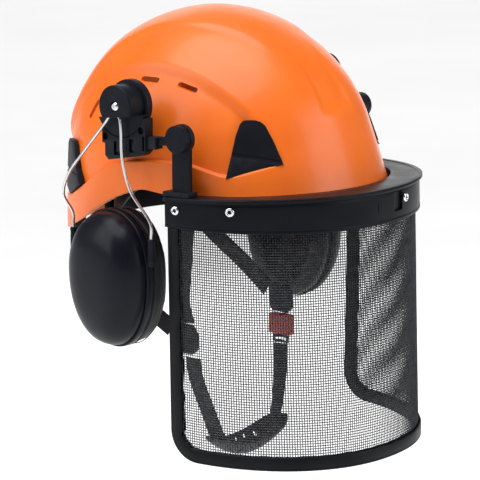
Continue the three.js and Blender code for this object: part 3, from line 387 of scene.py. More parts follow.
def mesh_material(name):
    n = Nodes(name)
    n.bsdf.inputs["Metallic"].default_value = 0.85
    n.colour(n.mix(n.between(n.noise(240, 3), 0, 1), (0.022, 0.023, 0.028), (0.060, 0.063, 0.070)))
    n.rough(n.between(n.noise(900, 2), 0.34, 0.52))
    n.normal(n.bump(n.noise(5200, 2), 0.00001))
    return n.material


ORANGE = moulded("shell_orange", (0.86, 0.150, 0.009), (0.90, 0.172, 0.012), 0.36, 0.000006, 1500, coat=0.12,
                 wear=(0.93, 0.22, 0.05), specular=0.4)
BLACK = moulded("black_plastic", (0.0055, 0.0068, 0.0105), (0.0095, 0.0112, 0.0165), 0.42, 0.00003, 3000,
                wear=(0.030, 0.034, 0.042), specular=0.10)
SATIN = moulded("brow_plastic", (0.0040, 0.0046, 0.0070), (0.0070, 0.0078, 0.0112), 0.34, 0.00002, 2200,
                wear=(0.045, 0.047, 0.054), specular=0.09)
CUP = moulded("cup_plastic", (0.0035, 0.0042, 0.0085), (0.0060, 0.0070, 0.0125), 0.34, 0.00001, 1800, coat=0.05,
              wear=(0.03, 0.034, 0.046), specular=0.16, ripple=0.08)
RUBBER = moulded("trim_rubber", (0.0040, 0.0045, 0.0062), (0.0075, 0.0082, 0.0110), 0.44, 0.00004, 2400,
                 wear=(0.024, 0.025, 0.030), specular=0.12)
CHIN = moulded("chin_elastomer", (0.030, 0.030, 0.036), (0.045, 0.044, 0.052), 0.58, 0.00006, 2000,
               wear=(0.09, 0.09, 0.10))
RED = moulded("buckle_plastic", (0.42, 0.048, 0.012), (0.52, 0.065, 0.018), 0.34, 0.00002, 2200,
              wear=(0.75, 0.20, 0.09))
STEEL = metal("spring_steel", (0.55, 0.55, 0.57), (0.80, 0.80, 0.82), 0.20, (1, 1, 0.06))
CHROME = metal("plated_steel", (0.72, 0.73, 0.75), (0.90, 0.90, 0.91), 0.12)
WIRE = mesh_material("mesh_wire")
WEB = webbing_material("strap_webbing")
LEATHER = leather_material("cushion_skin", (0.006, 0.006, 0.0085), (0.011, 0.011, 0.0145), 0.34)
LINING = leather_material("sweatband_skin", (0.016, 0.016, 0.019), (0.026, 0.026, 0.030), 0.55)
FOAM = foam_material("sound_foam", (0.02, 0.02, 0.022), (0.085, 0.085, 0.09))

# ------------------------------------------------------------------ shell
SHELL = dict(half_width=114.5, half_length=138.6, rise=127.4, girth=6.7, plan=0.975, profile=1.028, wall=3.0)
PANEL_DEPTH = 4.3
BRIM = dict(out=10.5, top=40.0, low=-8.0, curve=1.6, start_y=-55.0, full_y=-105.0)
RIM = ((-140, -6), (-60, -9), (-12, -3), (11, -11), (36, -23), (61, -37), (102, -55), (140, -58))
LEDGE = ((-140, 26), (-118, 23), (-84, 11), (-55, 20), (-25, 21), (5, 18), (30, 11), (62, -10), (89, -23),
         (140, -30))


def power(value, exponent):
    return np.sign(value) * np.abs(value) ** exponent


def smoothstep(t):
    t = np.clip(t, 0, 1)
    return t * t * (3 - 2 * t)


def eased(table, y):
    """The table's line with its corners rounded over a few millimetres."""
    ys, values = np.array(table, float).T
    reach = np.linspace(-7, 7, 15)
    return sum(np.interp(y + r, ys, values) for r in reach) / len(reach)


def shell_nominal(azimuth, latitude, inset):
    flat = np.abs(np.cos(latitude)) ** SHELL["profile"]
    return np.stack([
        (SHELL["half_width"] - inset) * power(np.cos(azimuth), SHELL["plan"]) * flat,
        (SHELL["half_length"] - inset) * power(np.sin(azimuth), SHELL["plan"]) * flat,
        SHELL["girth"] + (SHELL["rise"] - inset) * power(np.sin(latitude), SHELL["profile"]),
    ], axis=-1)


def arch_height(y):
    """Top of the side panel: an arch whose front end falls away in a straight line."""
    arch = 95.5 - 33.5 * (np.abs(y) / 89) ** 2.3
    return np.where(y < -89, 62 + 1.43 * (y + 89), arch)


def brim_out(y, z):
    """How far the front of the lower band leans out into a short brim, in millimetres."""
    front = smoothstep((y - BRIM["start_y"]) / (BRIM["full_y"] - BRIM["start_y"]))
    down = np.clip((BRIM["top"] - z) / (BRIM["top"] - BRIM["low"]), 0, 1)
    return BRIM["out"] * front * down ** BRIM["curve"]


def panel_share(p):
    """1 on the recessed side panel, 0 above its arch."""
    y, z = p[..., 1], p[..., 2]
    ramp = 5.5 + 4.0 * smoothstep((y + 105) / 70)
    return smoothstep((arch_height(y) - z) / ramp)


def relief(p):
    """Height of the shell's surface over its plain dome, in millimetres."""
    x, y, z = p[..., 0], p[..., 1], p[..., 2]
    crest_half = np.interp(y, (-75, -44, -12, 28, 65, 90), (33, 40, 45, 50, 60, 66))
    crest = smoothstep((crest_half - np.abs(x)) / 7 + 0.5)
    crest *= smoothstep((y + 88) / 45) * smoothstep((z - 70) / 35)
    scoop_half = np.interp(z, (58, 66, 100, 120), (23, 21.5, 19.5, 16))
    scoop = smoothstep((scoop_half - np.abs(x)) / 7.5)
    scoop *= smoothstep((118 - z) / 50) * smoothstep((z - 54) / 14) * smoothstep((-40 - y) / 20)
    return 1.3 * crest - 2.3 * scoop


def shell_surface(columns=320, inset=0.0, upper=110, detail=True):
    """Rows of the shell's face from the crown down to the ledge, over it and down the band."""
    azimuth = 2 * np.pi * (np.arange(columns) + 0.5) / columns
    girth = shell_nominal(azimuth, np.zeros(columns), inset)
    ledge = eased(LEDGE, girth[:, 1]) - inset
    rim = eased(RIM, girth[:, 1])

    def latitude_of(height):
        share = np.clip((height - SHELL["girth"]) / (SHELL["rise"] - inset), 0, 1)
        return np.arcsin(share ** (1 / SHELL["profile"]))

    def point(height, out):
        lat = latitude_of(height)
        p = shell_nominal(azimuth, lat, inset)
        p[:, 2] = height
        around = np.maximum(np.hypot(p[:, 0], p[:, 1]), 1)
        scale = 1 + (out * np.cos(lat) + brim_out(p[:, 1], height)) / around
        return np.stack([p[:, 0] * scale, p[:, 1] * scale, p[:, 2] + out * np.sin(lat)], axis=-1)

    rows = []
    stop = latitude_of(ledge + 2.4)
    for i in range(1, upper + 1):
        share = (i - 0.5) / (upper - 0.5)
        lat = np.pi / 2 + (stop - np.pi / 2) * share
        p = shell_nominal(azimuth, lat, inset)
        if i == upper:
            p[:, 2] = ledge + 2.4
        around = np.maximum(np.hypot(p[:, 0], p[:, 1]), 1)
        out = -PANEL_DEPTH * panel_share(p) + (relief(p) if detail else 0)
        scale = 1 + (out * np.cos(lat) + brim_out(p[:, 1], p[:, 2])) / around
        rows.append(np.stack([p[:, 0] * scale, p[:, 1] * scale, p[:, 2] + out * np.sin(lat)], axis=-1))
    edge = point(ledge, 0 * ledge)
    full = panel_share(edge)
    # the ledge in section: a fillet up from the panel, a flat top and a rounded outer edge
    section = ((-1.0, 1.4), (-0.96, 0.75), (-0.84, 0.3), (-0.62, 0.05), (-0.30, -0.1), (-0.12, -0.35),
               (-0.03, -0.8),
               (0.0, -1.6))
    for share, lift in section:
        rows.append(point(ledge + lift, PANEL_DEPTH * share * full))
    top = ledge - 2.6
    for share in (0.0, 0.1, 0.22, 0.36, 0.5, 0.64, 0.78, 0.9, 1.0):
        rows.append(point(top + (rim + 1.2 - top) * share, 0 * ledge))
    return rows, rim, point


def build_shell():
    outer, rim, point = shell_surface()
    rounding = ((0.0, 0.5), (-0.25, 0.12), (-0.8, 0.0), (-1.6, 0.0), (-2.3, 0.12), (-2.85, 0.5), (-3.0, 1.2))
    edge = [point(rim + lift, out + 0 * rim) for out, lift in rounding]
    inner, _, _ = shell_surface(inset=SHELL["wall"], upper=60, detail=False)
    rows = outer + edge + inner[::-1][1:]
    crown = Vector((0, 0, (SHELL["girth"] + SHELL["rise"] + 1.3) * MM))
    under = Vector((0, 0, (SHELL["girth"] + SHELL["rise"] - SHELL["wall"]) * MM))
    rows = [[Vector(p) * MM for p in row] for row in rows]
    shell = loft("shell_look", rows, ORANGE, poles=(crown, under))
    cutters = []
    for side in SIDES.values():
        for y, z, length, slope in ((1.5, 81, 19, 0), (-36, 77.5, 19, 14), (60, 52, 18, -62)):
            cutters.append(vent_cutter(side, y, z, length, math.radians(slope)))
    for cutter in cutters:
        cut = shell.modifiers.new("vent", "BOOLEAN")
        cut.operation = "DIFFERENCE"
        cut.solver = "EXACT"
        cut.object = cutter
    applied(shell)
    for cutter in cutters:
        bpy.data.objects.remove(cutter)
    smooth(shell, 38)
    place(shell, "helmet", "shell_orange", "shell")


def vent_cutter(side, y, z, length, slope):
    half, radius = length / 2 - 2.1, 2.1
    outline = []
    for end in (1, -1):
        for i in range(9):
            t = math.pi * i / 8 - math.pi / 2
            outline.append((end * (half + radius * math.cos(t)), end * radius * math.sin(t)))
    rows = []
    for x in (60, 125):
        rows.append([Vector((side * x, y + u * math.cos(slope) - v * math.sin(slope),
                             z + u * math.sin(slope) + v * math.cos(slope))) * MM for u, v in outline])
    return loft("cutter", rows, ORANGE)


build_shell()

# ------------------------------------------------------------------ visor
VISOR = dict(top_half=124.2, top_depth=126.5, low_half=120.5, low_depth=137.6, back=-46.6, low=-220.7,
             plan=0.928, corner=26.0)
MESH_OUT = -3.1
MESH_PITCH = 2.1
WIRE_THICKNESS = 0.74
BROW_DEPTH = 28.3


def visor_point(turn, z, out=0.0):
    down = z / VISOR["low"]
    half = VISOR["top_half"] + (VISOR["low_half"] - VISOR["top_half"]) * down + out
    depth = VISOR["top_depth"] + (VISOR["low_depth"] - VISOR["top_depth"]) * down + out
    return np.array([half * power(math.cos(turn), VISOR["plan"]),
                     VISOR["back"] - depth * abs(math.sin(turn)) ** VISOR["plan"], z])


FINE_TURNS = np.linspace(0, math.pi, 1441)
_plan = np.array([visor_point(t, -100.0) for t in FINE_TURNS])
PLAN_RUN = np.concatenate([[0], np.cumsum(np.linalg.norm(np.diff(_plan, axis=0), axis=1))])
PLAN_LENGTH = float(PLAN_RUN[-1])


def turn_at(distance):
    return float(np.interp(distance, PLAN_RUN, FINE_TURNS))


def lower_edge(distance, inset):
    radius = VISOR["corner"] - inset
    from_end = min(distance, PLAN_LENGTH - distance) - inset
    short = min(max(radius - from_end, 0.0), radius)
    return VISOR["low"] + inset + radius - math.sqrt(radius ** 2 - short ** 2)


def brow_top(y):
    """Height of the brow guard's flange, which dips towards its rear ends."""
    return -4.0 * min(max((y + 150) / (VISOR["back"] + 150), 0.0), 1.0)


def wire_object(name, wires):
    """Thin four-sided wires, each a list of points in millimetres with the wire's radius."""
    vertices, faces = [], []
    for points, radius in wires:
        path = [Vector(p) for p in points]
        first = len(vertices)
        for i, p in enumerate(path):
            along = (path[min(i + 1, len(path) - 1)] - path[max(i - 1, 0)]).normalized()
            outwards = Vector((p.x, p.y - VISOR["back"], 0)).normalized()
            outwards = (outwards - along * outwards.dot(along)).normalized()
            side = along.cross(outwards)
            for a, b in ((1, 0), (0, 1), (-1, 0), (0, -1)):
                vertices.append((p + outwards * (a * radius) + side * (b * radius)) * MM)
        for i in range(len(path) - 1):
            a, b = first + 4 * i, first + 4 * i + 4
            for k in range(4):
                m = (k + 1) % 4
                faces.append((a + k, b + k, b + m, a + m))
        faces.append((first + 3, first + 2, first + 1, first))
        end = first + 4 * (len(path) - 1)
        faces.append((end, end + 1, end + 2, end + 3))
    return new_object(name, vertices, faces, WIRE)


def build_mesh():
    inset = 3.6
    count = round((PLAN_LENGTH - 2 * inset) / MESH_PITCH)
    stations = [inset + (PLAN_LENGTH - 2 * inset) * i / count for i in range(count + 1)]
    levels = list(np.arange(VISOR["low"] + inset, -4.6, MESH_PITCH))
    upright, level = [], []
    for i, s in enumerate(stations):
        low = lower_edge(s, inset)
        turn = turn_at(s)
        high = brow_top(visor_point(turn, 0.0)[1]) - 4.6
        points = [visor_point(turn, z, MESH_OUT + (0.2 if (i + k) % 2 else -0.2))
                  for k, z in enumerate(levels) if low - 0.01 <= z <= high]
        upright.append((points, WIRE_THICKNESS / 2))
    for k, z in enumerate(levels):
        inside = [(i, s) for i, s in enumerate(stations) if lower_edge(s, inset) <= z + 0.01
                  and z <= brow_top(visor_point(turn_at(s), 0.0)[1]) - 4.6]
        points = [visor_point(turn_at(s), z, MESH_OUT + (-0.2 if (i + k) % 2 else 0.2)) for i, s in inside]
        level.append((points, WIRE_THICKNESS / 2))
    warp = wire_object("visor_mesh_upright_wires", upright)
    weft = wire_object("visor_mesh_level_wires", level)
    place(warp, "visor", "wire_cloth", "visor_mesh")
    place(weft, "visor", "wire_cloth")
    for obj in (warp, weft):
        smooth(obj, 80)


TRIM = dict(width=12.0, thickness=5.6, wall=2.6, groove=3.2)


def build_trim():
    radius, top, low = VISOR["corner"], -BROW_DEPTH + 2.2, VISOR["low"]
    path = []
    for z in np.linspace(top, low + radius, 60, endpoint=False):
        path.append((0.0, z, 1.0, 0.0))
    for i in range(17):
        t = math.pi / 2 * i / 16
        path.append((radius * (1 - math.cos(t)), low + radius * (1 - math.sin(t)), math.cos(t), math.sin(t)))
    for s in np.linspace(radius, PLAN_LENGTH - radius, 170)[1:-1]:
        path.append((float(s), low, 0.0, 1.0))
    for i in range(16, -1, -1):
        t = math.pi / 2 * i / 16
        path.append((PLAN_LENGTH - radius * (1 - math.cos(t)), low + radius * (1 - math.sin(t)), -math.cos(t),
                     math.sin(t)))
    for z in np.linspace(low + radius, top, 60, endpoint=False)[1:]:
        path.append((PLAN_LENGTH, z, -1.0, 0.0))
    half, slot = TRIM["thickness"] / 2, TRIM["groove"] / 2
    wide, wall = TRIM["width"], TRIM["wall"]
    bead = [(1.0 - math.cos(t), half * math.sin(t)) for t in np.linspace(-1.25, 1.25, 7)]
    section = [(0.35 + 1.6 * a, b * 1.02) for a, b in bead]
    section += [(3.2, half * 0.86), (3.9, half), (wide - 1.2, half), (wide - 0.3, half - 0.35),
                (wide, slot + 0.3),
                (wide - 0.4, slot), (wall, slot), (wall, -slot), (wide - 0.4, -slot), (wide, -slot - 0.3),
                (wide - 0.3, -half + 0.35), (wide - 1.2, -half), (3.9, -half), (3.2, -half * 0.86)]
    draw = random.Random(5)
    phase = [draw.uniform(0, 6.28) for _ in range(4)]
    rows = []
    run = 0.0
    for i, (distance, z, in_s, in_z) in enumerate(path):
        run += 3.0
        ripple = (0.45 * math.sin(run / 4.1 + phase[0]) + 0.35 * math.sin(run / 7.7 + phase[1])
                  + 0.25 * math.sin(run / 2.3 + phase[2]))
        calm = 1.0 if in_s else 0.35
        row = []
        for inward, out in section:
            shift = ripple * calm * max(0.0, (inward - 6) / 6)
            s, h = distance + in_s * (inward + shift), z + in_z * (inward + shift)
            row.append(Vector(visor_point(turn_at(s), h, MESH_OUT + out)) * MM)
        rows.append(row)
    trim = smooth(loft("visor_trim_look", rows, RUBBER), 55)
    place(trim, "visor", "black_plastic", "visor_trim")


def flange_inner(turn):
    outer = visor_point(turn, 0.0)
    direction = np.array([outer[0], outer[1] - VISOR["back"]])
    direction /= np.linalg.norm(direction)
    a, b = SHELL["half_width"] + 2.2, SHELL["half_length"] + 3.7
    low, high = 0.0, 200.0
    for _ in range(40):
        middle = (low + high) / 2
        x, y = direction[0] * middle, VISOR["back"] + direction[1] * middle
        inwards = 1 - brim_out(y, -3.0) / math.hypot(x, y)
        x, y = x * inwards, y * inwards
        if abs(x / a) ** (2 / SHELL["plan"]) + abs(y / b) ** (2 / SHELL["plan"]) < 1:
            low = middle
        else:
            high = middle
    return np.array([direction[0] * low, VISOR["back"] + direction[1] * low])


def block_cutter(at, size, yaw):
    """A rounded-end block turned about the upright axis, in millimetres."""
    half, deep, high = size[0] / 2, size[1] / 2, size[2] / 2
    corner = min(1.2, half * 0.4)
    outline = [(half - corner, high), (half, high - corner), (half, corner - high), (half - corner, -high),
               (corner - half, -high), (-half, corner - high), (-half, high - corner), (corner - half, high)]
    rows = []
    for y in (-deep, deep):
        row = []
        for u, v in outline:
            x_turned = u * math.cos(yaw) - y * math.sin(yaw)
            y_turned = u * math.sin(yaw) + y * math.cos(yaw)
            row.append(Vector((at[0] + x_turned, at[1] + y_turned, at[2] + v)) * MM)
        rows.append(row)
    return loft("cutter", rows, SATIN)


# the front wall's pocket and the groove beside it: middle, size, turn in degrees
BROW_POCKETS = (((13.5, -174.35, -12.5), (13, 3.9, 15.4), 7), ((-13.8, -175.2, -12.0), (1.1, 2.6, 10), -7))


def build_brow():
    rows = []
    count = 220
    for i in range(count + 1):
        turn = turn_at(PLAN_LENGTH * i / count)
        inner = flange_inner(turn)
        edge = visor_point(turn, 0.0, 3.5)
        across = edge[:2] - inner

        def flange(share, z):
            x, y = inner + across * share
            return Vector((x, y, z + brow_top(y))) * MM

        def wall(out, z):
            drop = brow_top(edge[1]) if z > -10 else 0.0
            return Vector(visor_point(turn, z + drop, out)) * MM

        low = -BROW_DEPTH
        width = max(float(np.linalg.norm(across)), 1.0)
        rim = 1 - 4.5 / width
        top = [flange(0, -0.5), flange(0.6 / width, -0.1), flange(0.35, -0.1),
               flange(max(rim - 0.02, 0.4), -0.15), flange(max(rim, 0.42), 0.3),
               flange(1 - 0.9 / width, 0.25), flange(1 - 0.25 / width, -0.15),
               flange(1, -0.8), flange(1, -2.0), flange(1 - 0.3 / width, -2.5)]
        outside = [wall(2.6, -2.9), wall(0.75, -3.3), wall(0.55, -4.2), wall(0.95, -5.2), wall(1.0, -6.0),
                   wall(1.0, low + 3.6), wall(0.9, low + 3.1), wall(1.2, low + 2.5), wall(1.2, low + 0.9)]
        foot = [wall(0.9, low + 0.2), wall(0.2, low), wall(-1.2, low), wall(-1.7, low + 0.4)]
        inside = [wall(-1.7, -4.0), wall(-2.2, -3.0), flange(0.3, -3), flange(0.5 / width, -3), flange(0, -2.5)]
        row = top + outside + foot + inside
        rows.append(row)
    brow = loft("brow_guard_look", rows, SATIN)
    for at, size, yaw in BROW_POCKETS:
        cutter = block_cutter(at, size, math.radians(yaw))
        cut = brow.modifiers.new("pocket", "BOOLEAN")
        cut.operation = "DIFFERENCE"
        cut.solver = "EXACT"
        cut.object = cutter
        applied(brow)
        bpy.data.objects.remove(cutter)
    smooth(brow, 38)
    place(brow, "visor", "black_plastic", "brow_guard")


RIVETS = {"side_left": 4, "front_left": 25, "centre": 80, "front_right": 155, "side_right": 176}


def build_rivets():
    for name, turn_deg in RIVETS.items():
        turn = math.radians(turn_deg)
        height = -13.7 if name.startswith("side") else -11.0
        seat = visor_point(turn, height, 1.35)
        ahead, behind = visor_point(turn + 0.01, height), visor_point(turn - 0.01, height)
        step = Vector(ahead - behind).normalized()
        normal = Vector((step.y, -step.x, 0))
        if normal.dot(Vector((seat[0], seat[1] - VISOR["back"], 0))) < 0:
            normal.negate()
        # a tubular rivet: a rolled rim round a dished middle
        profile = ((0.0, 3.8), (0.5, 3.8), (0.95, 3.6), (1.4, 3.15), (1.65, 2.6), (1.6, 2.1), (1.25, 1.65),
                   (0.6, 1.4), (0.15, 1.2))
        rows = revolve(profile, 40)
        head = loft(f"rivet_{name}_look", rows, CHROME, poles=(None, Vector((0.05, 0, 0)) * MM))
        # a black disc in the dish: partly the brow's black plastic seen down the rivet's hole, partly painted
        # shade of the hole, where the shallow chrome dish would show bright
        rows = revolve(((0.1, 1.6), (0.8, 1.6), (0.9, 1.4), (0.95, 0.7)), 28)
        hole_plastic_and_shade = loft(f"rivet_{name}_core", rows, BLACK, poles=(None, Vector((0.95, 0, 0)) * MM))
        turn_to = Vector((1, 0, 0)).rotation_difference(normal)
        for piece in (head, hole_plastic_and_shade):
            piece.data.transform(Matrix.Translation(Vector(seat) * MM) @ turn_to.to_matrix().to_4x4())
            smooth(piece, 45)
        place(head, "visor", "bright_steel", f"rivet_{name}")
        place(hole_plastic_and_shade, "visor", "black_plastic")


build_mesh()
build_trim()
build_brow()
build_rivets()

# ------------------------------------------------------------------ hard pieces from the frame
for side in SIDES:
    for node in ("muff_adapter", "visor_arm", "visor_link"):
        bevelled(f"{node}_{side}", BLACK, "black_plastic", 0.7, 3)
    bevelled(f"muff_hub_{side}", BLACK, "black_plastic", 0.5, 3)
    bevelled(f"hub_screw_{side}", CHROME, "bright_steel", 0.15, 2)
    for end in ("front", "rear"):
        bevelled(f"lamp_clip_{end}_{side}", BLACK, "black_plastic", 1.1, 3, 25)
        bevelled(f"suspension_key_{end}_{side}", BLACK, "black_plastic", 1.0, 2)
    bevelled(f"side_adjuster_{side}", BLACK, "black_plastic", 0.9, 3)
    bevelled(f"rack_{side}", BLACK, "black_plastic", 0.3, 2)
for node in ("headband", "ratchet_housing", "ratchet_knob"):
    bevelled(node, BLACK, "black_plastic", 0.6, 2)
bevelled("buckle_frame", RED, "buckle_red", 0.8, 3)
bevelled("buckle_tongue", BLACK, "black_plastic", 0.4, 2)
bevelled("buckle_button", BLACK, "black_plastic", 0.5, 2)

# ------------------------------------------------------------------ ear muffs
CUP_AT = dict(out=118, y=10.5, z=-78, yaw=math.radians(-6), lean=math.radians(-2), half_width=42.5,
              half_height=57, depth=31, wall=2.5, rim=6)


def cup_axes():
    yaw, lean = CUP_AT["yaw"], CUP_AT["lean"]
    w = Vector((math.cos(yaw), -math.sin(yaw), 0))
    u = Vector((math.sin(yaw), math.cos(yaw), 0))
    v = Vector((0, 0, 1))
    return w, u * math.cos(lean) + v * math.sin(lean), v * math.cos(lean) - u * math.sin(lean)


CUP_W, CUP_U, CUP_V = cup_axes()


def cup_point(u, v, w):
    return Vector((CUP_AT["out"], CUP_AT["y"], CUP_AT["z"])) + CUP_U * u + CUP_V * v + CUP_W * w


def cup_outline(half_width, half_height, w, count=112):
    row = []
    for i in range(count):
        t = 2 * math.pi * i / count
        taper = 1 + 0.07 * math.sin(t)
        u = half_width * taper * power(math.cos(t), 0.92)
        v = half_height * power(math.sin(t), 0.92)
        row.append(cup_point(u, v, w) * MM)
    return row


def both_sides(obj, body, slot, node):
    """Places a left-hand piece and its mirror image."""
    twin = mirrored(obj, f"{node}_right_look")
    place(obj, f"{body}_left", slot, f"{node}_left")
    place(twin, f"{body}_right", slot, f"{node}_right")
    return obj, twin


def build_cup():
    half_w, half_h, depth, rim = CUP_AT["half_width"], CUP_AT["half_height"], CUP_AT["depth"], CUP_AT["rim"]
    rows = []
    for inset, w in ((1.6, 0.0), (0.5, 0.0), (0.1, 0.25), (0.0, 0.7), (0.0, 4.9), (0.15, 5.5), (0.55, 5.9),
                     (1.2, 6.02), (1.6, 5.85), (2.0, 5.9)):
        rows.append(cup_outline(half_w - inset, half_h - inset, w))
    for i in range(1, 44):
        turn = math.radians(2 * i)
        scale = math.cos(turn) ** 0.62
        w = rim + (depth - rim) * math.sin(turn) ** 0.95
        rows.append(cup_outline((half_w - 2) * scale, (half_h - 2) * scale, w))
    inner = []
    wall = CUP_AT["wall"]
    for i in range(0, 14):
        turn = math.radians(6 * i)
        scale = math.cos(turn) ** 0.62
        w = rim + (depth - rim - wall) * math.sin(turn) ** 0.95
        inner.append(cup_outline((half_w - 2 - wall) * scale, (half_h - 2 - wall) * scale, w))
    inner = [cup_outline(half_w - wall, half_h - wall, 0)] + inner
    cup = loft("ear_cup_left_look", inner[::-1] + rows, CUP,
               poles=(cup_point(0, 0, depth - wall) * MM, cup_point(0, 0, depth) * MM))
    both_sides(smooth(cup, 35), "cup", "cup_plastic", "ear_cup")


def ring_rows(outer_w, outer_h, inner_w, inner_h, section, count=112):
    """A ring whose section is given as (share of the way in, distance out of the head)."""
    rows = []
    for share, w in section:
        half_w = outer_w + (inner_w - outer_w) * share
        half_h = outer_h + (inner_h - outer_h) * share
        rows.append(cup_outline(half_w, half_h, w, count))
    return rows


def build_plate():
    half_w, half_h = CUP_AT["half_width"], CUP_AT["half_height"]
    section = ((0.0, -1.9), (0.0, -0.8), (0.02, -0.4), (0.98, -0.4), (1.0, -0.7), (1.0, -2.0), (0.98, -2.3),
               (0.02, -2.3))
    plate = loft("cup_plate_left_look", ring_rows(half_w, half_h, 22, 36, section), BLACK, ring=True)
    both_sides(smooth(plate, 50), "cup", "black_plastic", "cup_plate")


def inflate(obj, voxel, pressure, cap):
    """Fills a soft piece: an even mesh, swollen by cloth pressure, then one subdivision."""
    even = obj.modifiers.new("even", "REMESH")
    even.mode = "VOXEL"
    even.voxel_size = voxel * MM
    applied(obj)
    scene = bpy.context.scene
    rest = np.array([v.co[:] for v in obj.data.vertices])
    cloth = obj.modifiers.new("cloth", "CLOTH")
    cloth.settings.quality = 6
    cloth.settings.mass = 0.2
    cloth.settings.tension_stiffness = 12
    cloth.settings.compression_stiffness = 12
    cloth.settings.shear_stiffness = 6
    cloth.settings.bending_stiffness = 0.4
    cloth.settings.use_pressure = True
    cloth.settings.uniform_pressure_force = pressure
    cloth.settings.effector_weights.gravity = 0
    cloth.point_cache.frame_start = 1
    cloth.point_cache.frame_end = 20
    for step in range(1, 21):
        scene.frame_set(step)
    graph = bpy.context.evaluated_depsgraph_get()
    mesh = obj.evaluated_get(graph).to_mesh()
    moved = np.array([v.co[:] for v in mesh.vertices]) - rest
    obj.evaluated_get(graph).to_mesh_clear()
    moved -= moved.mean(axis=0)
    reach = np.linalg.norm(moved, axis=1, keepdims=True)
    moved *= np.minimum(1, cap * MM / np.maximum(reach, 1e-9))
    obj.modifiers.clear()
    obj.data.vertices.foreach_set("co", (rest + moved).ravel())
    scene.frame_set(1)
    fine = obj.modifiers.new("fine", "SUBSURF")
    fine.levels = fine.render_levels = 1
    applied(obj)
    return smooth(obj, 180)


def build_cushion():
    half_w, half_h = CUP_AT["half_width"] - 1.6, CUP_AT["half_height"] - 1.6
    top, low = -3.4, -19.2
    section = ((0.0, top - 3.2), (0.03, top - 1.2), (0.12, top), (0.88, top), (0.97, top - 1.2),
               (1.0, top - 3.2), (1.0, low + 4.0), (0.95, low + 1.5), (0.8, low + 0.3), (0.5, low),
               (0.2, low + 0.3), (0.05, low + 1.5), (0.0, low + 4.0))
    rows = ring_rows(half_w, half_h, 24.2, 38.2, section, 160)
    cushion = loft("ear_cushion_left_look", rows, LEATHER, ring=True)
    inflate(cushion, 3.2, 4.0, 2.2)
    for piece in both_sides(cushion, "cup", "padding", "ear_cushion"):
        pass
    # the welded seams where the skin joins the plate and where its two halves meet
    for name, grow, w, radius in (("seam_plate", 0.35, -3.3, 0.55), ("seam_middle", 0.75, -10.6, 0.4)):
        path = cup_outline(CUP_AT["half_width"] - 1.0 + grow, CUP_AT["half_height"] - 1.0 + grow, w, 150)
        rows = closed_tube(path, radius * MM, 8)
        seam = smooth(loft(f"ear_cushion_{name}_left", rows, LEATHER, ring=True), 180)
        twin = mirrored(seam, f"ear_cushion_{name}_right")
        place(seam, "cup_left", "padding")
        place(twin, "cup_right", "padding")


def closed_tube(path, radius, sides):
    rows = []
    centre = sum(path, Vector()) / len(path)
    for i, p in enumerate(path):
        along = (path[(i + 1) % len(path)] - path[i - 1]).normalized()
        out = (p - centre)
        out = (out - along * out.dot(along)).normalized()
        side = along.cross(out)
        rows.append([p + (out * math.cos(t) + side * math.sin(t)) * radius
                     for t in (2 * math.pi * k / sides for k in range(sides))])
    return rows


def build_foam():
    half_w, half_h = CUP_AT["half_width"] - 8, CUP_AT["half_height"] - 8
    rows = []
    for inset, w in ((0.9, 8.0), (0.2, 7.3), (0.0, 6.0), (0.0, 3.0), (0.2, 1.8), (0.9, 1.15)):
        rows.append(cup_outline(half_w - inset, half_h - inset, w))
    for i in range(1, 12):
        share = i / 12
        rows.append(cup_outline((half_w - 0.9) * (1 - share), (half_h - 0.9) * (1 - share),
                                1.15 + 0.5 * math.sin(share * math.pi)))
    foam = loft("ear_foam_left_look", rows, FOAM, poles=(None, cup_point(0, 0, 1.15) * MM))
    for piece in both_sides(smooth(foam, 50), "cup", "foam", "ear_foam"):
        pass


SLEEVE_U, SLEEVE_TOP, SLEEVE_LOW, SLEEVE_W = 47, 37, 15, 5
WIRE_RADIUS = 1.3


def build_yoke():
    def leg(sign, v):
        return cup_point(sign * SLEEVE_U, v, SLEEVE_W)

    points = [leg(-1, SLEEVE_LOW + 1), leg(-1, SLEEVE_LOW + 8), leg(-1, SLEEVE_TOP), leg(-1, SLEEVE_TOP + 12),
              (129.4, -15, -3), (132.4, -9, 22), (133.4, -8.6, 48), (133.4, -7, 56.4), (133.4, -3.2, 59),
              (133.4, 1.4, 59), (133.4, 4.6, 55), (133.4, 10, 48.6), (132, 31, 27), (130.4, 52, 4),
              (127, 61, -14),
              leg(1, SLEEVE_TOP + 12), leg(1, SLEEVE_TOP),
              leg(1, SLEEVE_LOW + 8), leg(1, SLEEVE_LOW + 1)]
    path = [p * MM for p in curve_through(points, 240)]
    wire = loft("yoke_wire_left_look", tube_rows(path, WIRE_RADIUS * MM, 14), STEEL)
    both_sides(smooth(wire, 60), "yoke", "spring_steel", "yoke_wire")
    for end, sign in (("front", -1), ("rear", 1)):
        low, top = leg(sign, SLEEVE_LOW), leg(sign, SLEEVE_TOP)
        up = (top - low).normalized()
        length = (top - low).length
        side = up.orthogonal().normalized()
        other = up.cross(side)
        profile = ((0.0, 1.7), (0.0, 3.0), (0.25, 3.4), (0.7, 3.55), (3.2, 3.55), (3.5, 3.25), (4.0, 3.2),
                   (12, 3.0), (length - 3.2, 2.7), (length - 2.6, 2.95), (length - 0.9, 2.95),
                   (length - 0.3, 2.7), (length, 2.3), (length, 1.7))
        rows = [[(low + up * h + (side * math.cos(t) + other * math.sin(t)) * r) * MM
                 for t in (2 * math.pi * k / 36 for k in range(36))] for h, r in profile]
        sleeve = loft(f"sleeve_{end}_left_look", rows, BLACK, ring=True)
        both_sides(smooth(sleeve, 35), "sleeves", "black_plastic", f"sleeve_{end}")


build_cup()
build_plate()
build_cushion()
build_foam()
build_yoke()


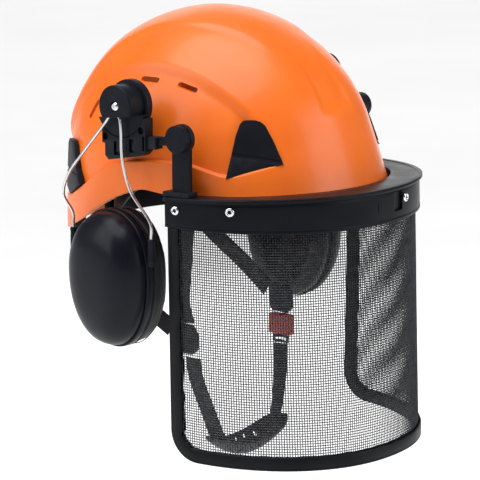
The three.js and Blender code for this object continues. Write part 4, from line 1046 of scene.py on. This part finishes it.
# ------------------------------------------------------------------ harness and straps
def strap(name, points, face_start, face_end, width=16.0, thickness=1.5, count=90, smooth_path=True):
    """Flat webbing: rounded edges, and a UV map in millimetres across and along it."""
    path = curve_through(points, count) if smooth_path else [Vector(p) for p in points]
    half, thin = width / 2, thickness / 2
    section = [(-half, 0.0), (-half + 0.12, thin * 0.6), (-half + 0.5, thin)]
    section += [(-half + 0.5 + (width - 1) * k / 8, thin) for k in range(1, 9)]
    section += [(half - 0.12, thin * 0.6), (half, 0.0), (half - 0.12, -thin * 0.6)]
    section += [(half - 0.5 - (width - 1) * k / 8, -thin) for k in range(0, 9)]
    section += [(-half + 0.12, -thin * 0.6)]
    rows, weave = [], []
    run = 0.0
    for i, p in enumerate(path):
        if i:
            run += (p - path[i - 1]).length
        along = (path[min(i + 1, len(path) - 1)] - path[max(i - 1, 0)]).normalized()
        face = Vector(face_start).lerp(Vector(face_end), i / (len(path) - 1))
        across = along.cross(face).normalized()
        out = across.cross(along).normalized()
        rows.append([(p + across * a + out * b) * MM for a, b in section])
        weave += [(a + half, run) for a, _ in section]
    obj = loft(name, rows, WEB)
    layer = obj.data.uv_layers.new(name="weave")
    for loop in obj.data.loops:
        layer.data[loop.index].uv = weave[loop.vertex_index]
    return smooth(obj, 60)


ADJUSTERS = {"right": (66, -18, -135), "left": (63, -17, -124)}
OUTWARD = (1, 0, 0)


def flipped(points, side):
    return [(x * side, y, z) for x, y, z in points]


def build_straps():
    for name, side in SIDES.items():
        x, y, z = ADJUSTERS[name]
        face = (side, 0, 0)
        front = [(99, -47, 1), (96, -45, -20), (86, -34, -62), (x + 5, y - 1, z + 30),
                 (x + 1.2, y - 2, z + 13.4)]
        rear = [(68, 100, -40), (71, 95, -56), (74, 72, -77), (x + 4, y + 44, z + 24),
                (x + 0.5, y + 15.5, z + 6)]
        place(strap(f"front_strap_{name}_look", flipped(front, side), face, face), "helmet", "webbing",
              f"front_strap_{name}")
        place(strap(f"rear_strap_{name}_look", flipped(rear, side), face, face), "helmet", "webbing",
              f"rear_strap_{name}")
    right = [(66, -25.5, -151.2), (62, -25, -168), (48, -28, -204), (39, -30, -226.5)]
    left = [(61.2, -18, -165), (58.5, -20, -185), (46, -27, -211.5), (38, -30, -224.8)]
    lower = strap("lower_strap_right_look", flipped(right, -1), (-1, 0, 0), (-0.8, 0, 0.6))
    place(lower, "chin_strap", "webbing", "lower_strap_right")
    lower = strap("lower_strap_left_look", left, OUTWARD, (0.8, 0, 0.6))
    place(lower, "chin_strap", "webbing", "lower_strap_left")


CHIN_AT = dict(y=-30, tip_x=49, tip_z=-226, low_z=-247, half_width=15.5, lip=10, thickness=2.4)


def build_chin():
    rows = []
    across = 18
    for i in range(97):
        share = -1 + 2 * i / 96
        spine = CHIN_AT["low_z"] + (CHIN_AT["tip_z"] - CHIN_AT["low_z"]) * share ** 2
        half = CHIN_AT["half_width"] * math.sqrt(1 - 0.92 * share ** 4)
        lip = CHIN_AT["lip"] * (1 - share ** 2) + 1

        def at(v, up):
            return Vector((CHIN_AT["tip_x"] * share, CHIN_AT["y"] + half * v, spine + lip * v * v + up)) * MM

        steps = [2 * k / across - 1 for k in range(across + 1)]
        thick = CHIN_AT["thickness"]
        row = [at(v, 0.0) for v in steps] + [at(1.02, 0.5 * thick)]
        row += [at(-v, thick) for v in steps] + [at(-1.02, 0.5 * thick)]
        rows.append(row)
    cup = loft("chin_cup_look", rows, CHIN)
    cutters = []
    for x in (-22, -11, 0, 11, 22):
        outline = [(x + 1.9 * math.cos(t), CHIN_AT["low_z"] + 9 + 1.9 * math.sin(t))
                   for t in (2 * math.pi * k / 20 for k in range(20))]
        rows = [[Vector((px, py, pz)) * MM for px, pz in outline] for py in (-60, 0)]
        cutters.append(loft("cutter", rows, CHIN))
    for cutter in cutters:
        cut = cup.modifiers.new("hole", "BOOLEAN")
        cut.operation = "DIFFERENCE"
        cut.solver = "EXACT"
        cut.object = cutter
    applied(cup)
    for cutter in cutters:
        bpy.data.objects.remove(cutter)
    place(smooth(cup, 45), "chin_strap", "chin_plastic", "chin_cup")


CRADLE = dict(a=93, b=112, foot=9, top=101, width=18, thickness=1.6)


def build_cradle():
    for name, azimuth_deg, lift in (("under", 40, 0.0), ("over", 140, 1.7)):
        azimuth = math.radians(azimuth_deg)
        points = []
        for i in range(91):
            turn = math.pi * i / 90
            raised = CRADLE["thickness"] / 2 + lift * math.exp(-((turn - math.pi / 2) / 0.22) ** 2)
            points.append(((CRADLE["a"] + raised) * math.cos(azimuth) * math.cos(turn),
                           (CRADLE["b"] + raised) * math.sin(azimuth) * math.cos(turn),
                           CRADLE["foot"] + (CRADLE["top"] + raised - CRADLE["foot"]) * math.sin(turn)))
        normal = (-math.sin(azimuth), math.cos(azimuth), 0)
        path = [Vector(p) for p in points]
        obj = cradle_strap(f"crown_cradle_{name}", path, Vector(normal))
        if name == "under":
            place(obj, "helmet", "webbing", "crown_cradle")
        else:
            place(obj, "helmet", "webbing")


def cradle_strap(name, path, across):
    """Webbing whose width runs along one fixed direction."""
    faces = []
    for i in range(len(path)):
        along = (path[min(i + 1, len(path) - 1)] - path[max(i - 1, 0)]).normalized()
        faces.append(along.cross(across))
    obj = strap(name, path, faces[0], faces[-1], CRADLE["width"], CRADLE["thickness"], smooth_path=False)
    return obj


def build_sweatband():
    a, b = 79 - 2 - 0.6, 98 - 2 - 0.6
    section = [(0.3, -11.6), (0.3, 11.6), (1.0, 12.3), (2.5, 12.3), (3.8, 11.0), (4.3, 6), (4.5, 0), (4.3, -6),
               (3.8, -11.0), (2.5, -12.3), (1.0, -12.3)]
    rows = []
    for i in range(121):
        t = math.radians(196.0 + 148 * i / 120)
        rows.append([Vector(((a - d) * math.cos(t), (b - d) * math.sin(t), z)) * MM for d, z in section])
    band = loft("sweatband_look", rows, LINING)
    inflate(band, 2.2, 2.5, 1.0)
    place(band, "helmet", "padding", "sweatband")


build_straps()
build_chin()
build_cradle()
build_sweatband()


# ------------------------------------------------------------------ stage
def build_stage():
    n = Nodes("floor")
    n.colour(n.mix(n.between(n.noise(0.9, 3), 0, 1), (0.86, 0.86, 0.86), (0.90, 0.90, 0.90)))
    n.rough(n.between(n.noise(6, 3), 0.75, 0.9))
    half, low = 45.0, -0.62
    corners = [(-half, -half, low), (half, -half, low), (half, half, low), (-half, half, low)]
    floor = new_object("floor", corners, [(0, 1, 2, 3)], n.material)
    world = bpy.data.worlds.new("studio")
    world.use_nodes = True
    world.node_tree.nodes["Background"].inputs["Color"].default_value = (1, 1, 1, 1)
    world.node_tree.nodes["Background"].inputs["Strength"].default_value = 0.14
    bpy.context.scene.world = world
    overhead = bpy.data.lights.new("overhead", "SUN")
    overhead.energy = 3.1
    overhead.angle = math.radians(60)
    obj = bpy.data.objects.new("overhead", overhead)
    bpy.context.scene.collection.objects.link(obj)
    obj.rotation_euler = (math.radians(-4), math.radians(-12), 0)
    # soft boxes: beside the camera on its left, on its right, and low behind the object
    boxes = (("left", (-1.5, 0.9, 0.85), 1.3, 14), ("right", (0.75, -1.9, 0.7), 1.4, 18),
             ("back", (1.7, 1.2, 0.55), 1.8, 13))
    for name, at, size, power_w in boxes:
        light = bpy.data.lights.new(name, "AREA")
        light.shape = "SQUARE"
        light.size = size
        light.energy = power_w
        obj = bpy.data.objects.new(name, light)
        bpy.context.scene.collection.objects.link(obj)
        obj.location = at
        obj.rotation_euler = (Vector((0, 0, -0.05)) - Vector(at)).to_track_quat("-Z", "Y").to_euler()


def build_camera():
    camera = bpy.data.cameras.new("camera")
    camera.lens = 164.2
    camera.sensor_width = 36
    camera.clip_end = 50
    obj = bpy.data.objects.new("camera", camera)
    bpy.context.scene.collection.objects.link(obj)
    obj.location = Vector((-1405.85, -1159.94, 317.07)) * MM
    aim = Vector((0.53, -21.5, -62.5)) * MM
    obj.rotation_euler = (aim - obj.location).to_track_quat("-Z", "Y").to_euler()
    bpy.context.scene.camera = obj


build_stage()
build_camera()
bpy.context.scene.view_settings.view_transform = "Standard"
bpy.context.view_layer.update()
